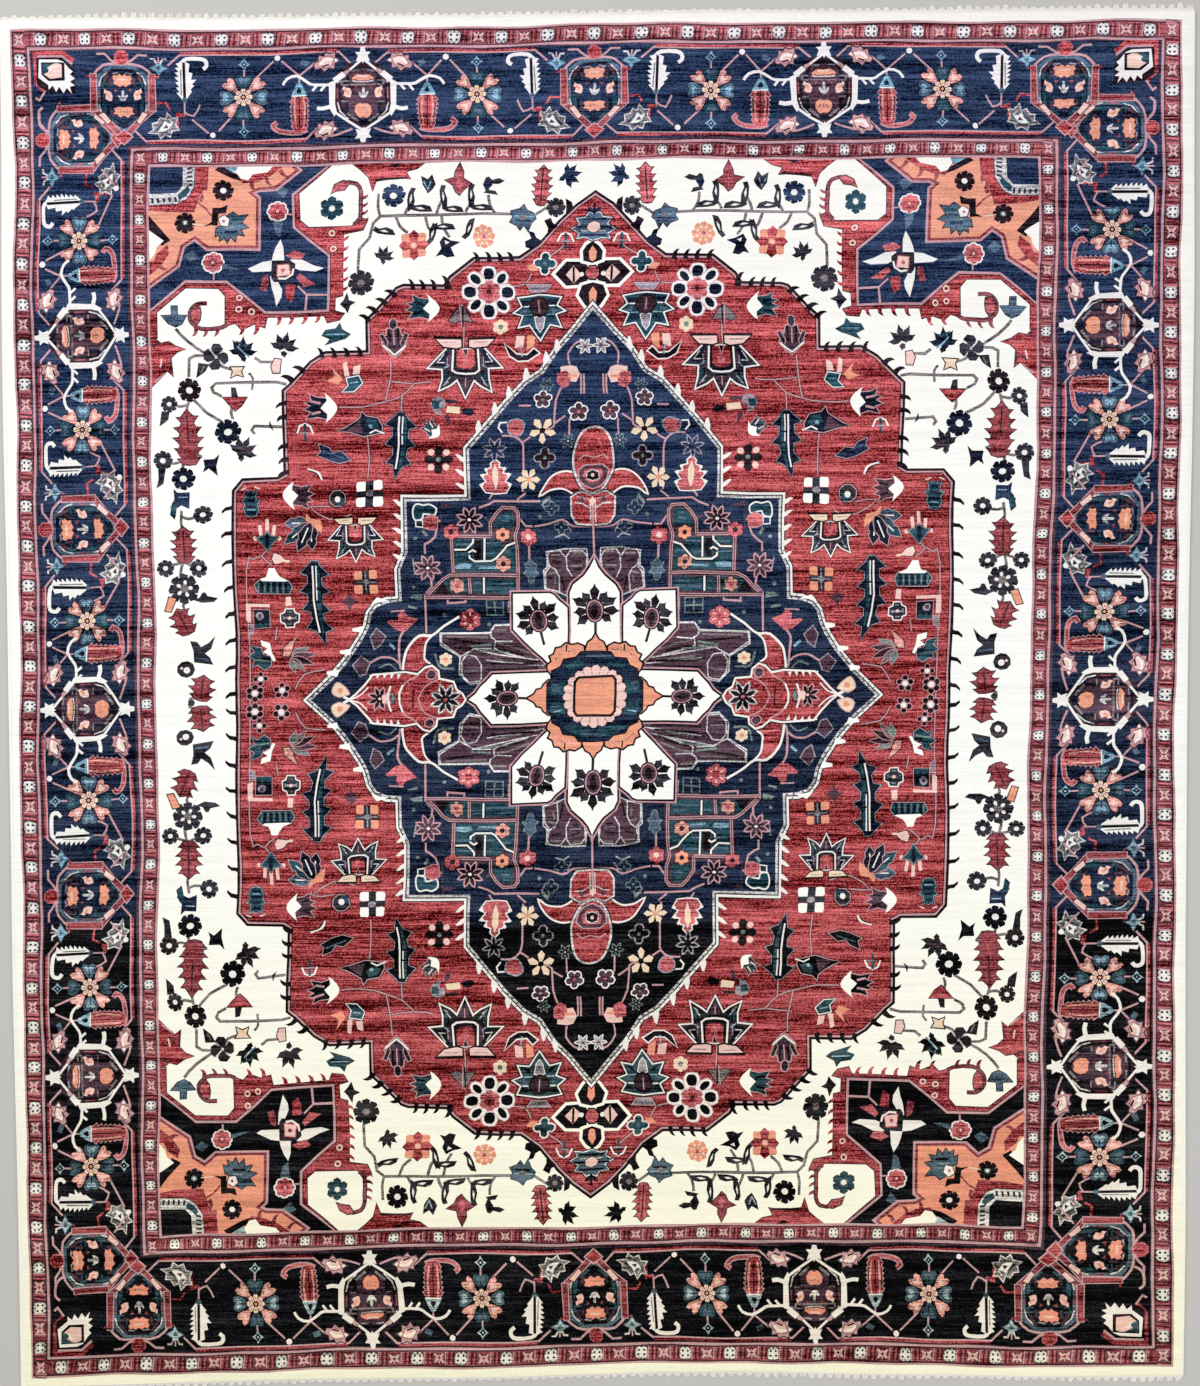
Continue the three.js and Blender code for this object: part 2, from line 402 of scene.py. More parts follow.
def star_flower(pen, size=1.0, dye="dark", edge="pink", heart="white", points=8):
    """Flower of narrow pointed petals with a pale edge."""
    own = pen.at(0, 0, 0, size)
    for i in range(points):
        leaf = own.at(0, 0, 360 / points * (i + 0.5))
        leaf.both(edge, [(0, 0), (3.6, 7), (2.2, 12), (0, 15)])
    for i in range(points):
        leaf = own.at(0, 0, 360 / points * (i + 0.5))
        leaf.both(dye, [(0, 0), (2.2, 7), (1.0, 11), (0, 12.5)])
    own.dot(dye, 0, 0, 4.5)
    own.dot(heart, 0, 0, 2.0, 0.8, 6)


def cream_flower(pen, size=1.0, petals=6, dye="cream", heart="madder"):
    """Light flower with round petals that show gaps between them."""
    own = pen.at(0, 0, 0, size)
    for i in range(petals):
        leaf = own.at(0, 0, 360 / petals * (i + 0.5))
        leaf.both(dye, [(0, 0), (1.8, 4), (3, 8.2), (0, 11.5)])
    own.dot(heart, 0, 0, 2.6, 1.0, 6)


def tall_leaf(pen, dye="madder", heart="cream", edge="white"):
    """Upright leaf with three steps a side and pale tips."""
    half = [(0, 18), (4, 14), (3, 10), (9, 8), (7, 3), (14, 2), (9, -5), (15, -8), (10, -16), (0, -17)]
    pen.both(dye, half, (edge, 1.2))
    pen.both(heart, [(0, 14), (3, 6), (3, -4), (0, -14)])
    for side in (1, -1):
        for u, v in ((9, 8), (13, 2), (14, -8)):
            pen.dot(edge, u * side, v, 2, 1.0, 5)


def scroll_panel(pen):
    """Teal corner panel of the medallion with its pale scroll lines."""
    pen.area("plum", [(74, 103), (74, 192), (92, 192), (104, 180), (150, 196), (152, 168), (144, 160),
                      (144, 124), (160, 108), (168, 103)])
    pen.area("navy", [(105, 166), (105, 176), (118, 192), (150, 190), (150, 168)])
    pen.area("teal", [(79, 105), (79, 119), (122, 119), (122, 105)])
    pen.area("teal", [(79, 126), (79, 152), (87, 152), (97, 140), (101, 137), (139, 137), (139, 126)])
    pen.area("teal", [(91, 150), (91, 159), (139, 159), (139, 137), (101, 138)])
    pen.area("teal", smooth([(80, 170), (80, 186), (88, 187), (96, 181), (101, 170)]))
    pen.area("sky", [(124, 129), (139, 129), (139, 133), (130, 135), (122, 133)])
    pen.area("sky", [(95, 129), (116, 129), (114, 131), (97, 132)])
    pen.area("dark", [(112, 139), (119, 139), (119, 158), (112, 158)])
    pen.area("teal", [(127, 104), (160, 104), (150, 119), (127, 119)])
    pen.area("dark", [(144, 104), (160, 104), (152, 116)])
    for points in ([(77, 104), (77, 150), (79, 162), (75, 172), (74, 186), (78, 191), (90, 191), (97, 185),
                    (103, 176), (103, 162)], [(103, 162), (141, 162), (141, 123)],
                   [(166, 104), (160, 110), (152, 119), (145, 123), (77, 123)], [(84, 101), (169, 101)],
                   [(125, 104), (125, 120)]):
        pen.line("dark", points, 4.8)
        pen.line("pink", points, 3.2)
        pen.line("plum", points, 1.0)
    for points in ([(79, 155), (87, 152), (92, 146), (98, 139), (102, 136.5), (119, 136.5), (124, 140),
                    (124, 146), (120, 148), (117, 146)], [(120, 160), (120, 156), (127, 149), (139, 149)],
                   [(109, 138), (109, 160)], [(110.5, 105), (110.5, 120)]):
        pen.line("dark", points, 4.2)
        pen.line("white", points, 1.9)
    for points in ([(82, 146), (90, 146)], [(100, 144), (108, 144)], [(80, 110), (108, 110)],
                   [(113, 115), (121, 115)], [(123, 144), (138, 144)], [(92, 155), (107, 155)],
                   [(123, 154), (137, 154)], [(84, 178), (92, 178)], [(82, 115), (96, 115)],
                   [(100, 132), (118, 132)], [(129, 108), (140, 108)], [(84, 183), (90, 183)]):
        pen.line("slate", points, 2.2)
    for u, v, dye, heart, size in ((91, 134, "salmon", "umber", 0.85), (91, 164, "peach", "umber", 0.8),
                                   (138, 112, "salmon", "rose", 0.85), (141, 166, "rose", "umber", 0.9),
                                   (65, 161, "rose", "blush", 1.0)):
        pen.dot("umber", u, v, 9.6 * size, 1.0, 8)
        small_rosette(pen.at(u, v), dye, heart, size)
    star_flower(pen.at(123, 178), 0.95)


def medallion_shoulder(pen):
    """Flowers and stems between the corner panel and the medallion's stepped edge."""
    for points in ([(132, 177), (153, 177)], [(155, 170), (158, 161), (164, 156), (168, 154), (168, 145)],
                   [(163, 122), (162, 112), (168, 105)], [(169, 104), (169, 64)],
                   [(60, 172), (67, 172), (73, 181)], [(52, 197.5), (98, 197.5), (104, 194), (114, 190)],
                   [(65, 152), (65, 139)], [(130, 100), (130, 96), (147, 95), (147, 102)]):
        pen.line("pink", points, 2.0)
    pen.area("teal", smooth([(157, 184), (156, 190), (162, 194), (168, 193), (175, 194), (178, 188),
                             (177, 180), (170, 181), (168, 186), (157, 184)]), ("white", 1.6))
    pen.area("navy", [(170, 172), (170, 178), (176, 178), (176, 173)], ("white", 1.2))
    pen.area("rose", [(155, 169), (154, 180), (160, 184), (168, 180), (169, 171), (162, 168)],
             ("pink", 0.8))
    star_flower(pen.at(166, 131), 0.95, "plum", "pink")
    pen.at(64, 128).both("slate", [(0, 11), (3, 7), (6, 6), (4, 1), (7, -3), (3, -5), (2, -11), (0, -12)],
                         ("sage", 1.0))
    pen.line("sage", [(166, 162), (170, 168)], 3)
    pen.area("sage", [(172, 98), (184, 101), (180, 104), (172, 104)])
    outlined_rosette(pen.at(32, 171), 0.7, "navy", "sage", "sage", 4)
    pen.line("pink", smooth([(2, 172), (20, 172), (30, 178), (44, 174), (58, 172)]), 1.8)
    small_rosette(pen.at(125, 79), "rose", "madder", 1.25)
    for turn in range(0, 360, 60):
        pen.at(125, 79, turn).line("blush", [(0, 4.6), (0, 8)], 1.3)
    for points in ([(24, 160), (30, 164), (38, 161)], [(22, 166), (26, 174)],
                   [(38, 194), (46, 188), (50, 194), (44, 200)], [(178, 128), (180, 140)],
                   [(112, 66), (100, 66)], [(86, 98), (86, 86)]):
        pen.line("grey", points, 1.5)
    for u, v in ((24, 147), (53, 182), (177, 160), (180, 112), (150, 84), (106, 74)):
        pen.dot("sage", u, v, 2.2, 1.0, 5)
    pen.area("navy", [(92, 84), (108, 84), (108, 98), (92, 98)], ("sage", 1.2))
    pen.line("sage", [(100, 84), (100, 98)], 1.4)
    pen.line("sage", [(92, 91), (108, 91)], 1.4)


WING_ARCH = [(136, 82), (150, 73), (163, 64), (176, 63), (188, 51), (191, 40), (192, 28)]


def medallion_wing(pen):
    """Red pendant on the level axis, with its arch, arcs and small flowers."""
    pen.line("dark", smooth(WING_ARCH),
             4.2)
    pen.area("madder", smooth([(167, 62), (176, 62), (187, 51), (189, 40), (190, 26), (180, 22), (168, 31),
                               (172, 45)]))
    for v in (56, 49, 43, 36, 30):
        pen.line("rose", [(171, v), (187, v - 2)], 1.3)
    pen.line("white", smooth(WING_ARCH),
             2.4)
    pen.line("white", smooth([(163, 64), (169, 57), (171, 46), (171, 39), (163, 33), (158, 27)]), 2.0)
    pen.line("pink", smooth([(189, 71), (196, 60), (196, 44), (194, 30)]), 2.2)
    pen.line("pink", smooth([(196, 36), (203, 41), (214, 42), (224, 37), (236, 32)]), 2.0)
    pen.line("sage", smooth([(198, 29), (206, 35), (216, 32)]), 1.6)
    pen.area("rose", [(177, 79), (187, 82), (192, 88), (200, 82), (208, 77), (198, 68), (190, 67)])
    pen.area("navy", [(197, 78), (208, 79), (207, 85), (197, 84)])
    pen.line("pink", [(190, 88), (204, 88)], 1.6)
    pen.line("sage", [(177, 90), (186, 92)], 2.4)
    pen.area("plum", [(210, 62), (218, 70), (223, 62), (220, 50), (214, 54)], ("grey", 1.2))
    pen.area("plum", [(226, 36), (234, 42), (242, 34), (236, 24), (230, 26)], ("grey", 1.3))
    pen.line("sky", [(200, 50), (206, 56)], 2.6)
    small_rosette(pen.at(149, 39), "cream", "peach", 0.8)
    pen.line("sage", smooth([(140, 30), (155, 31), (160, 45)]), 2.2)
    pen.area("cream", smooth([(246, 6), (250, 12), (258, 17), (263, 8), (256, 3), (246, 6)]), ("pink", 1.0))
    pen.dot("peach", 255, 9, 3)


WING_PENDANT = [(130, 0), (133, 5), (139, 9), (142, 17), (157, 19), (158, 27), (164, 32), (170, 30),
                (177, 23), (190, 26), (222, 24), (230, 15), (238, 6), (245, 0)]


def level_pendant(pen):
    """Long red pendant with two rosettes, on the medallion's level axis."""
    pen.area("madder", upper_to_whole(WING_PENDANT), ("dark", 3.2), ("white", 2.0))
    for u in range(196, 226, 7):
        for side in (1, -1):
            pen.area("white", [(u - 2, 25 * side), (u + 2, 25 * side), (u + 1, 20 * side)])
    for side in (1, -1):
        pen.line("pink", smooth([(177, 22 * side), (190, 15 * side), (196, 0)]), 1.6)
        pen.line("pink", smooth([(157, 19 * side), (170, 12 * side), (176, 0)]), 1.4)
        pen.line("white", smooth([(228, 12 * side), (236, 4 * side), (246, 0)]), 1.4)
        pen.dot("plum", 164, 24 * side, 4.5, 1.0, 7, ("pink", 1.2))
    star_flower(pen.at(216, 0), 0.9, "dark", "pink", "blush")
    star_flower(pen.at(149, 0), 1.12, "dark", "silver", "rose")
    for shift in (0, 12):
        pen.line("white", [(192 + shift, -13), (195 + shift, -5), (195 + shift, 5), (192 + shift, 13)], 2.0)
    pen.area("sage", [(199, 0), (202, 6), (205, 0), (202, -6)], ("dark", 0.8))
    pen.area("blush", [(206, -3), (213, -5), (214, 3), (207, 5)])
    for v in (-15, -9, 9, 15):
        pen.line("rose", [(172, v * 0.8), (187, v)], 1.2)
    pen.line("dark", [(181, -9), (181, 9)], 1.6)
    pen.line("white", [(246, 0), (252, 3)], 2.5)
    pen.line("white", [(246, 0), (252, -3)], 2.5)


def upright_pendant(pen):
    """Red pendant on the upright axis: an oval, two curled wings and a tapered box."""
    for side in (1, -1):
        wing = smooth([(14, 224), (26, 226), (38, 223), (46, 215), (52, 204), (44, 209), (30, 211),
                       (20, 205), (12, 196)])
        pen.area("madder", [(u * side, v) for u, v in wing], ("dark", 3.0), ("white", 1.8))
    pen.both("madder", [(0, 206), (14, 204), (21, 200), (21, 183), (16, 175), (0, 174)], ("dark", 3.0),
             ("silver", 1.9))
    pen.both("madder", smooth([(0, 268), (9, 265), (15, 256), (18, 240), (17, 226), (10, 210), (0, 205)]),
             ("dark", 3.2), ("silver", 2.1))
    pen.twins(
        ("silver", [(2.5, 176), (2.5, 198)], 1.3),
        ("silver", [(4, 190), (10, 194), (18, 195)], 1.3),
        ("pink", [(2, 202), (12, 206)], 1.3),
        ("pink", [(3, 198), (16, 201)], 1.2),
        ("pink", [(0, 240), (9, 242), (14, 238)], 1.3),
        ("rose", [(4, 258), (8, 250)], 1.6),
        ("plum", [(7, 194), (10, 201), (14, 197)]),
    )
    pen.both("plum", [(0, 232), (8, 232), (14, 227), (13, 218), (8, 212), (0, 209)], ("pink", 1.3))
    pen.both("rose", [(0, 229), (8, 228), (10, 221), (5, 215), (0, 214)])
    pen.both("dark", [(0, 227), (5, 225), (6, 219), (0, 217)], ("silver", 0.9))
    pen.dot("blush", 0, 222, 1.8)
    pen.line("pink", [(0, 139), (0, 196)], 2.0)
    pen.both("blush", [(0, 190), (3, 196), (0, 201)])


def medallion_peak(pen):
    """Flowers and stems under the medallion's pointed end, one side."""
    for points in ([(24, 332), (25, 343), (17, 354), (8, 357)],
                   [(33, 309), (38, 296), (39, 272), (47, 270)], [(28, 282), (38, 275)],
                   [(24, 278), (24, 262)], [(69, 207), (69, 246), (71, 257), (79, 263), (90, 263)],
                   [(10, 303), (10, 322)], [(13, 303), (13, 322)], [(66, 206), (75, 199)],
                   [(98, 206), (103, 199)], [(62, 292), (74, 292)], [(70, 257), (62, 262)]):
        pen.line("pink", smooth(points, 2), 1.8)
    pen.area("blush", [(14, 322), (17, 329), (23, 331), (34, 330), (33, 323), (26, 315), (18, 314)])
    pen.area("rose", [(23, 320), (28, 326), (37, 324), (37, 314), (31, 308), (25, 311)])
    pen.area("madder", [(28, 319), (34, 319), (32, 313)])
    pen.line("peach", [(17, 320), (26, 320)], 3.0)
    star_flower(pen.at(8, 350), 0.62, "grey", "white", "navy", 6)
    outlined_rosette(pen.at(16, 285), 0.95, "plum", "rose")
    outlined_rosette(pen.at(50, 298), 0.85, "plum", "sage")
    outlined_rosette(pen.at(48, 240), 1.05, "dark", "sage", "grey", 4)
    cream_flower(pen.at(50, 268), 1.2, 5, "cream", "dark")
    star_flower(pen.at(25, 256), 0.55, "navy", "sage", "blush", 6)
    pen.area("rose", smooth([(68, 275), (74, 279), (84, 276), (84, 267), (76, 263), (70, 268), (68, 275)]),
             ("sky", 1.0))
    pen.line("white", [(86, 276), (93, 276), (94, 271), (90, 266)], 1.6)
    cream_flower(pen.at(64, 219), 1.0, 6, "cream", "peach")
    tall_leaf(pen.at(96, 222), "rose")
    star_flower(pen.at(97, 250), 0.85, "navy", "grey", "navy", 7)
    star_flower(pen.at(47, 312), 0.5, "navy", "sage", "sage", 6)
    pen.line("sage", [(40, 189), (44, 202), (50, 196)], 1.8)
    outlined_rosette(pen.at(41, 190), 0.7, "navy", "sage", "sage", 4)


def medallion(rug):
    """The whole navy medallion."""
    medallion_ground(rug)
    for pen in pens(EVERYWHERE):
        medallion_shoulder(pen)
        scroll_panel(pen)
        medallion_wing(pen)
        medallion_peak(pen)
    medallion_petals(rug)
    for pen in pens(SIDEWAYS):
        level_pendant(pen)
    for pen in pens(UP_AND_DOWN):
        upright_pendant(pen)
    medallion_heart(rug)


RED_FIELD_EDGE = [(354, 0), (354, 211), (346, 220), (312, 221), (303, 226), (302, 310), (295, 316),
                  (276, 336), (262, 344), (219, 344), (219, 378), (209, 387), (191, 407), (186, 409),
                  (144, 409), (137, 419), (116, 436), (70, 436), (50, 451), (30, 474), (15, 489), (0, 500)]


def black_rosette(pen, size=1.0):
    """Large round flower of eight blocky dark petals with pale edges."""
    own = pen.at(0, 0, 0, size)
    widths = [5.4, 3.8] * 4
    for i, wide in enumerate(widths):
        own.at(0, 0, 45 * i).both("white", [(0, 8), (wide + 2, 10), (wide + 2.4, 20), (wide, 25), (0, 26)],
                                  ("pink", 0.8))
    for i, wide in enumerate(widths):
        petal = [(0, 12), (wide - 1.6, 13), (wide, 17), (wide - 0.4, 21), (wide - 2.4, 23.6), (0, 24)]
        own.at(0, 0, 45 * i).both("night", petal)
    for i in range(6):
        own.at(0, 0, 60 * i).dot("rose", 0, 6.5, 4.6, 1.0, 7, ("pink", 0.7))
    own.dot("madder", 0, 0, 6, 1.0, 8)
    own.dot("umber", 0, 0, 2.6, 1.0, 6)


def lotus(pen, size=1.0, wings="blush"):
    """Broad palmette of dark spiked petals with pale outlines, a red heart and two light lobes above."""
    own = pen.at(0, 0, 0, size)
    half = [(0, 12), (18, 13), (36, -6), (22, -7), (22, -18), (25, -29), (15, -24), (8, -18), (0, -35)]
    own.both("charcoal", half, ("umber", 2.6), ("white", 1.7))
    own.twins(
        ("night", [(16, 11), (19, 10), (30, -3), (21, -5)]),
        ("plum", [(15, 9), (19, 5), (18, -8), (15, -9)]),
        ("teal", [(13, -15), (20, -10), (21, -23), (16, -20)]),
        ("sky", [(21, -7), (16, -3)], 1.1),
        ("dark", [(17, -9), (17, -19)], 1.8),
        ("white", [(12.5, 12), (13, -9), (9, -12), (0, -13)], 1.9),
        ("dark", [(10.3, 12), (10.3, -7), (7, -10), (0, -10)], 2.0),
        ("dark", [(6, -16), (0, -15)], 1.6),
        ("silver", [(21, 8), (27, -1), (20, -1)], 1.1),
        ("silver", [(15, -16), (22, -25), (17, -21)], 1.1),
        ("grey", [(18, 4), (18, -6)], 1.0),
        ("silver", [(5, -19), (2, -27)], 1.0),
        (wings, [(4, 15), (9, 13.5), (22, 15), (29, 22), (4, 22)], ("dark", 1.7)),
        ("dark", [(3, 23.5), (31, 24)], 1.8),
        ("grey", [(9, 19), (22, 19)], 0.9),
    )
    own.both("madder", [(0, 12), (9, 12), (9, -4), (4, -8), (0, -8)])
    own.both("rose", [(0, 3), (4, 2), (3, -4), (0, -5)])
    own.both("dark", [(0, 12), (2.2, 12), (0, 5)], ("pink", 1.1))
    own.both("plum", [(0, -17), (6, -18), (2, -28), (0, -29)])
    own.line("pink", [(0, -17), (0, -26)], 1.0)


def side_flower(pen, size=1.0, crescent="ivory", body="navy", tips="dark"):
    """Flower seen from the side: a light crescent with dark petals that point to the right."""
    own = pen.at(0, 0, 0, size)
    own.area(body, [(0, 8), (8, 9), (14, 12), (12, 6), (18, 5), (13, 2), (19, -1), (13, -3), (17, -9),
                    (8, -7), (0, -9)], ("pink", 0.9))
    own.line(tips, [(5, 4), (13, 6)], 2)
    own.line(tips, [(5, -3), (13, -5)], 2)
    own.area(crescent, smooth([(2, 13), (-6, 6), (-9, 0), (-6, -6), (1, -12), (-1, -5), (5, 0), (0, 6),
                               (2, 13)], 2))


HOOK_REACH = 7.5


def hooked_blade(pen, length, half_width, teeth, bend):
    """Tall leaf, half dark and half teal, with teeth on both sides, pale veins and a bent tip."""
    def place(share, out):
        """A point at a share of the way down the leaf, at a distance from its spine."""
        return bend * 4 * max(share - 0.5, 0) ** 2 + out, length * (0.5 - share)

    def body(share):
        """Half the leaf's width at a share of the way down."""
        return half_width * math.sqrt(math.sin(math.pi * (0.12 + 0.8 * share))) * (1 - 0.35 * share)

    edges = []
    for side, lag in ((1, 0.0), (-1, 0.1)):
        edge = []
        for tooth in range(teeth):
            for step, reach in ((0.2, 0.0), (0.62, HOOK_REACH), (0.76, 0.0)):
                share = (tooth + step + lag) / (teeth + 0.3)
                edge.append(place(share, side * (body(share) + reach)))
        edges.append(edge)
    outline = [place(0, 3), *edges[0], place(1.06, 0), *reversed(edges[1]), place(0, -3)]
    pen.area("night", outline, ("umber", 1.4), ("grey", 0.8))
    shares = [0.06, 0.25, 0.5, 0.72, 0.9]
    half = [place(share, 1.4 - body(share)) for share in shares]
    pen.area("teal", half + [place(share, -1.2) for share in reversed(shares)])
    pen.line("white", [place(share, 1.6) for share in shares], 1.7)
    pen.line("white", [place(share, -1.8) for share in shares[:3]], 1.3)
    for share in (0.34, 0.52, 0.7):
        pen.line("night", [place(share, 1 - body(share)), place(share, -1.2)], 1.9)


def leaf_bundle(pen):
    """Bundle of dark leaves with pale veins that hang from one point, beside an orange shoot."""
    for turn, length, dye in ((-92, 25, "slate"), (-184, 28, "night"), (-130, 33, "teal"),
                              (-158, 32, "night")):
        leaf = pen.at(281, 180, turn)
        half = [(0, 0), (4, 5), (6.4, length * 0.45), (4, length * 0.62), (5, length * 0.74), (0, length)]
        leaf.both(dye, half, ("umber", 1.4), ("pink", 0.9))
        leaf.line("white", [(0, 6), (0, length * 0.72)], 1.3)
    pen.area("peach", [(270, 174), (272, 182), (281, 184), (286, 189), (286, 182), (280, 178), (277, 174),
                       (270, 168)])


def knob_rosette(pen, size=1.0, petals="dark", knobs="blush", heart="sage"):
    """Dark star with light knobs between its petals."""
    own = pen.at(0, 0, 0, size)
    for i in range(4):
        leaf = own.at(0, 0, 90 * i)
        leaf.both(petals, [(0, 0), (3, 5), (4.5, 10), (2, 14), (0, 14)])
    for i in range(4):
        own.at(0, 0, 90 * i + 45).dot(knobs, 0, 10.5, 3.6, 1.0, 6)
    own.dot(petals, 0, 0, 6)
    own.dot(heart, 0, 0, 2.6, 1.0, 6)


def cross_flower(pen, size=1.0, corners="ivory", bars="charcoal", heart="grey"):
    """Four light corner squares with a dark cross between them."""
    own = pen.at(0, 0, 0, size)
    for i in range(4):
        own.at(0, 0, 90 * i).area(corners, [(3.6, 3), (12.5, 3), (13.5, 9), (12.5, 12.5), (5, 13),
                                            (3.6, 11)])
    own.area(bars, [(-13, -3), (13, -3), (13.5, 0), (13, 3), (-13, 3), (-13.5, 0)])
    own.area(bars, [(-3.7, -13), (3.7, -13), (4, 13), (-4, 13)])
    own.dot(heart, 0, 0, 4.2, 0.8, 8)


def cup_flower(pen, size=1.0):
    """Pointed teal cup with three thin light petals and a bead at each side."""
    own = pen.at(0, 0, 0, size)
    for u, v in ((-7.4, 15), (0, 20), (7.4, 14)):
        own.line("blush", [(u * 0.8, 2), (u, v)], 3.6)
    for side in (1, -1):
        own.dot("blush", 12.4 * side, 1, 2.4, 1.0, 6)
    own.both("teal", [(0, 8), (3.4, 4), (10.6, 1.6), (5.6, -3.6), (0, -12)], ("umber", 1.2), ("grey", 0.8))
    own.both("night", [(0, 7), (2.4, 2), (2, -5), (0, -8)])


def tulip(pen, size=1.0):
    """Upright closed flower of dark lobes over a pale cup."""
    own = pen.at(0, 0, 0, size)
    own.both("plum", [(0, 10), (6, 10), (8, 2), (12, 2), (12, -8), (5, -16), (0, -20)], ("pink", 1.3))
    own.dot("charcoal", 0, 15, 3.6, 1.6, 8, ("pink", 1.0))
    own.twins(("charcoal", [(8, -11), (15, 3), (12, 5), (7, -5)], ("pink", 0.9)))
    own.twins(
        ("dark", [(5, 10), (4, -6)], 2.6),
        ("white", [(12, -8), (6, -13), (0, -18)], 1.8),
    )
    own.line("pink", [(0, 8), (0, -8)], 1.4)


def field_edge(rug):
    """Ivory field and the red field's stepped outline."""
    rug.area("ivory", [(-438, -537), (438, -537), (438, 537), (-438, 537)])
    edge = quarter_to_whole(RED_FIELD_EDGE)
    rug.area("madder", edge, ("dark", 5.4), ("pink", 2.8), ("dark", 1.0))


def field_hooks(pen):
    """Dark hooks on the ivory side of the red field's edge, one quarter."""
    for v in (10, 36, 63, 89, 115, 141, 169, 195):
        pen.area("dark", [(357, v + 4), (361, v + 1.6), (365, v + 1), (369, v - 3), (369, v - 6),
                          (365, v - 3), (361, v - 2.4), (357, v - 2)])
    for v in (230, 243, 256, 284, 298):
        claw(pen.at(304, v, -90), "dark", 0.9)
    for u in (156, 167, 178):
        claw(pen.at(u, 410), "dark", 0.85)
    for u in (80, 91, 102, 114):
        claw(pen.at(u, 437), "dark", 0.85)
    claw(pen.at(143, 411), "dark", 1.1)
    for u, v in ((195, 403), (204, 395), (213, 387), (221, 379)):
        claw(pen.at(u, v, -40), "dark", 0.95)
    for u in (230, 242, 254, 267):
        claw(pen.at(u, 344), "dark", 0.85)
    for u, v in ((286, 330), (297, 321)):
        claw(pen.at(u, v, -45), "dark", 1.0)
    pen.area("dark", [(35, 471), (40, 475), (42, 480), (49, 477), (45, 470), (45, 463)])
    pen.area("dark", [(20, 489), (22, 496), (28, 499), (27, 491), (27, 483)])
    pen.area("night", [(51, 457), (56, 460), (58, 465), (64, 467), (61, 459), (67, 456), (66, 450),
                       (59, 448)])


FIELD_STEMS = [[(129, 394), (128, 374), (129, 352)], [(160, 318), (178, 316), (205, 319)],
               [(178, 316), (190, 304), (206, 298), (228, 293), (252, 293)],
               [(200, 340), (201, 322), (206, 298)], [(190, 304), (191, 286)],
               [(224, 262), (223, 240), (224, 222)],
               [(345, 0), (345, 132), (338, 143), (328, 148), (323, 154)],
               [(44, 440), (34, 447), (27, 453)], [(60, 424), (66, 414), (78, 412)],
               [(262, 195), (282, 196), (262, 182), (240, 186)], [(323, 153), (330, 146), (320, 137)],
               [(318, 62), (316, 75)], [(300, 12), (290, 27), (270, 30)]]


def field_flowers(pen):
    """Flowers and leaves of the red field, one quarter."""
    for points in FIELD_STEMS:
        pen.line("umber", smooth(points, 2), 2.6)
        pen.line("pink", smooth(points, 2), 1.4)
    black_rosette(pen.at(103, 406))
    lotus(pen.at(127, 338))
    lotus(pen.at(236, 166, 0, 0.74), 1.0, "cream")
    hooked_blade(pen.at(191, 255), 62, 9.0, 3, 5)
    hooked_blade(pen.at(277, 101), 80, 8.6, 4, -7)
    leaf_bundle(pen)
    tulip(pen.at(196, 361, 0, 0.95))
    upper_field_flowers(pen)
    side_field_flowers(pen)
    middle_field_flowers(pen)


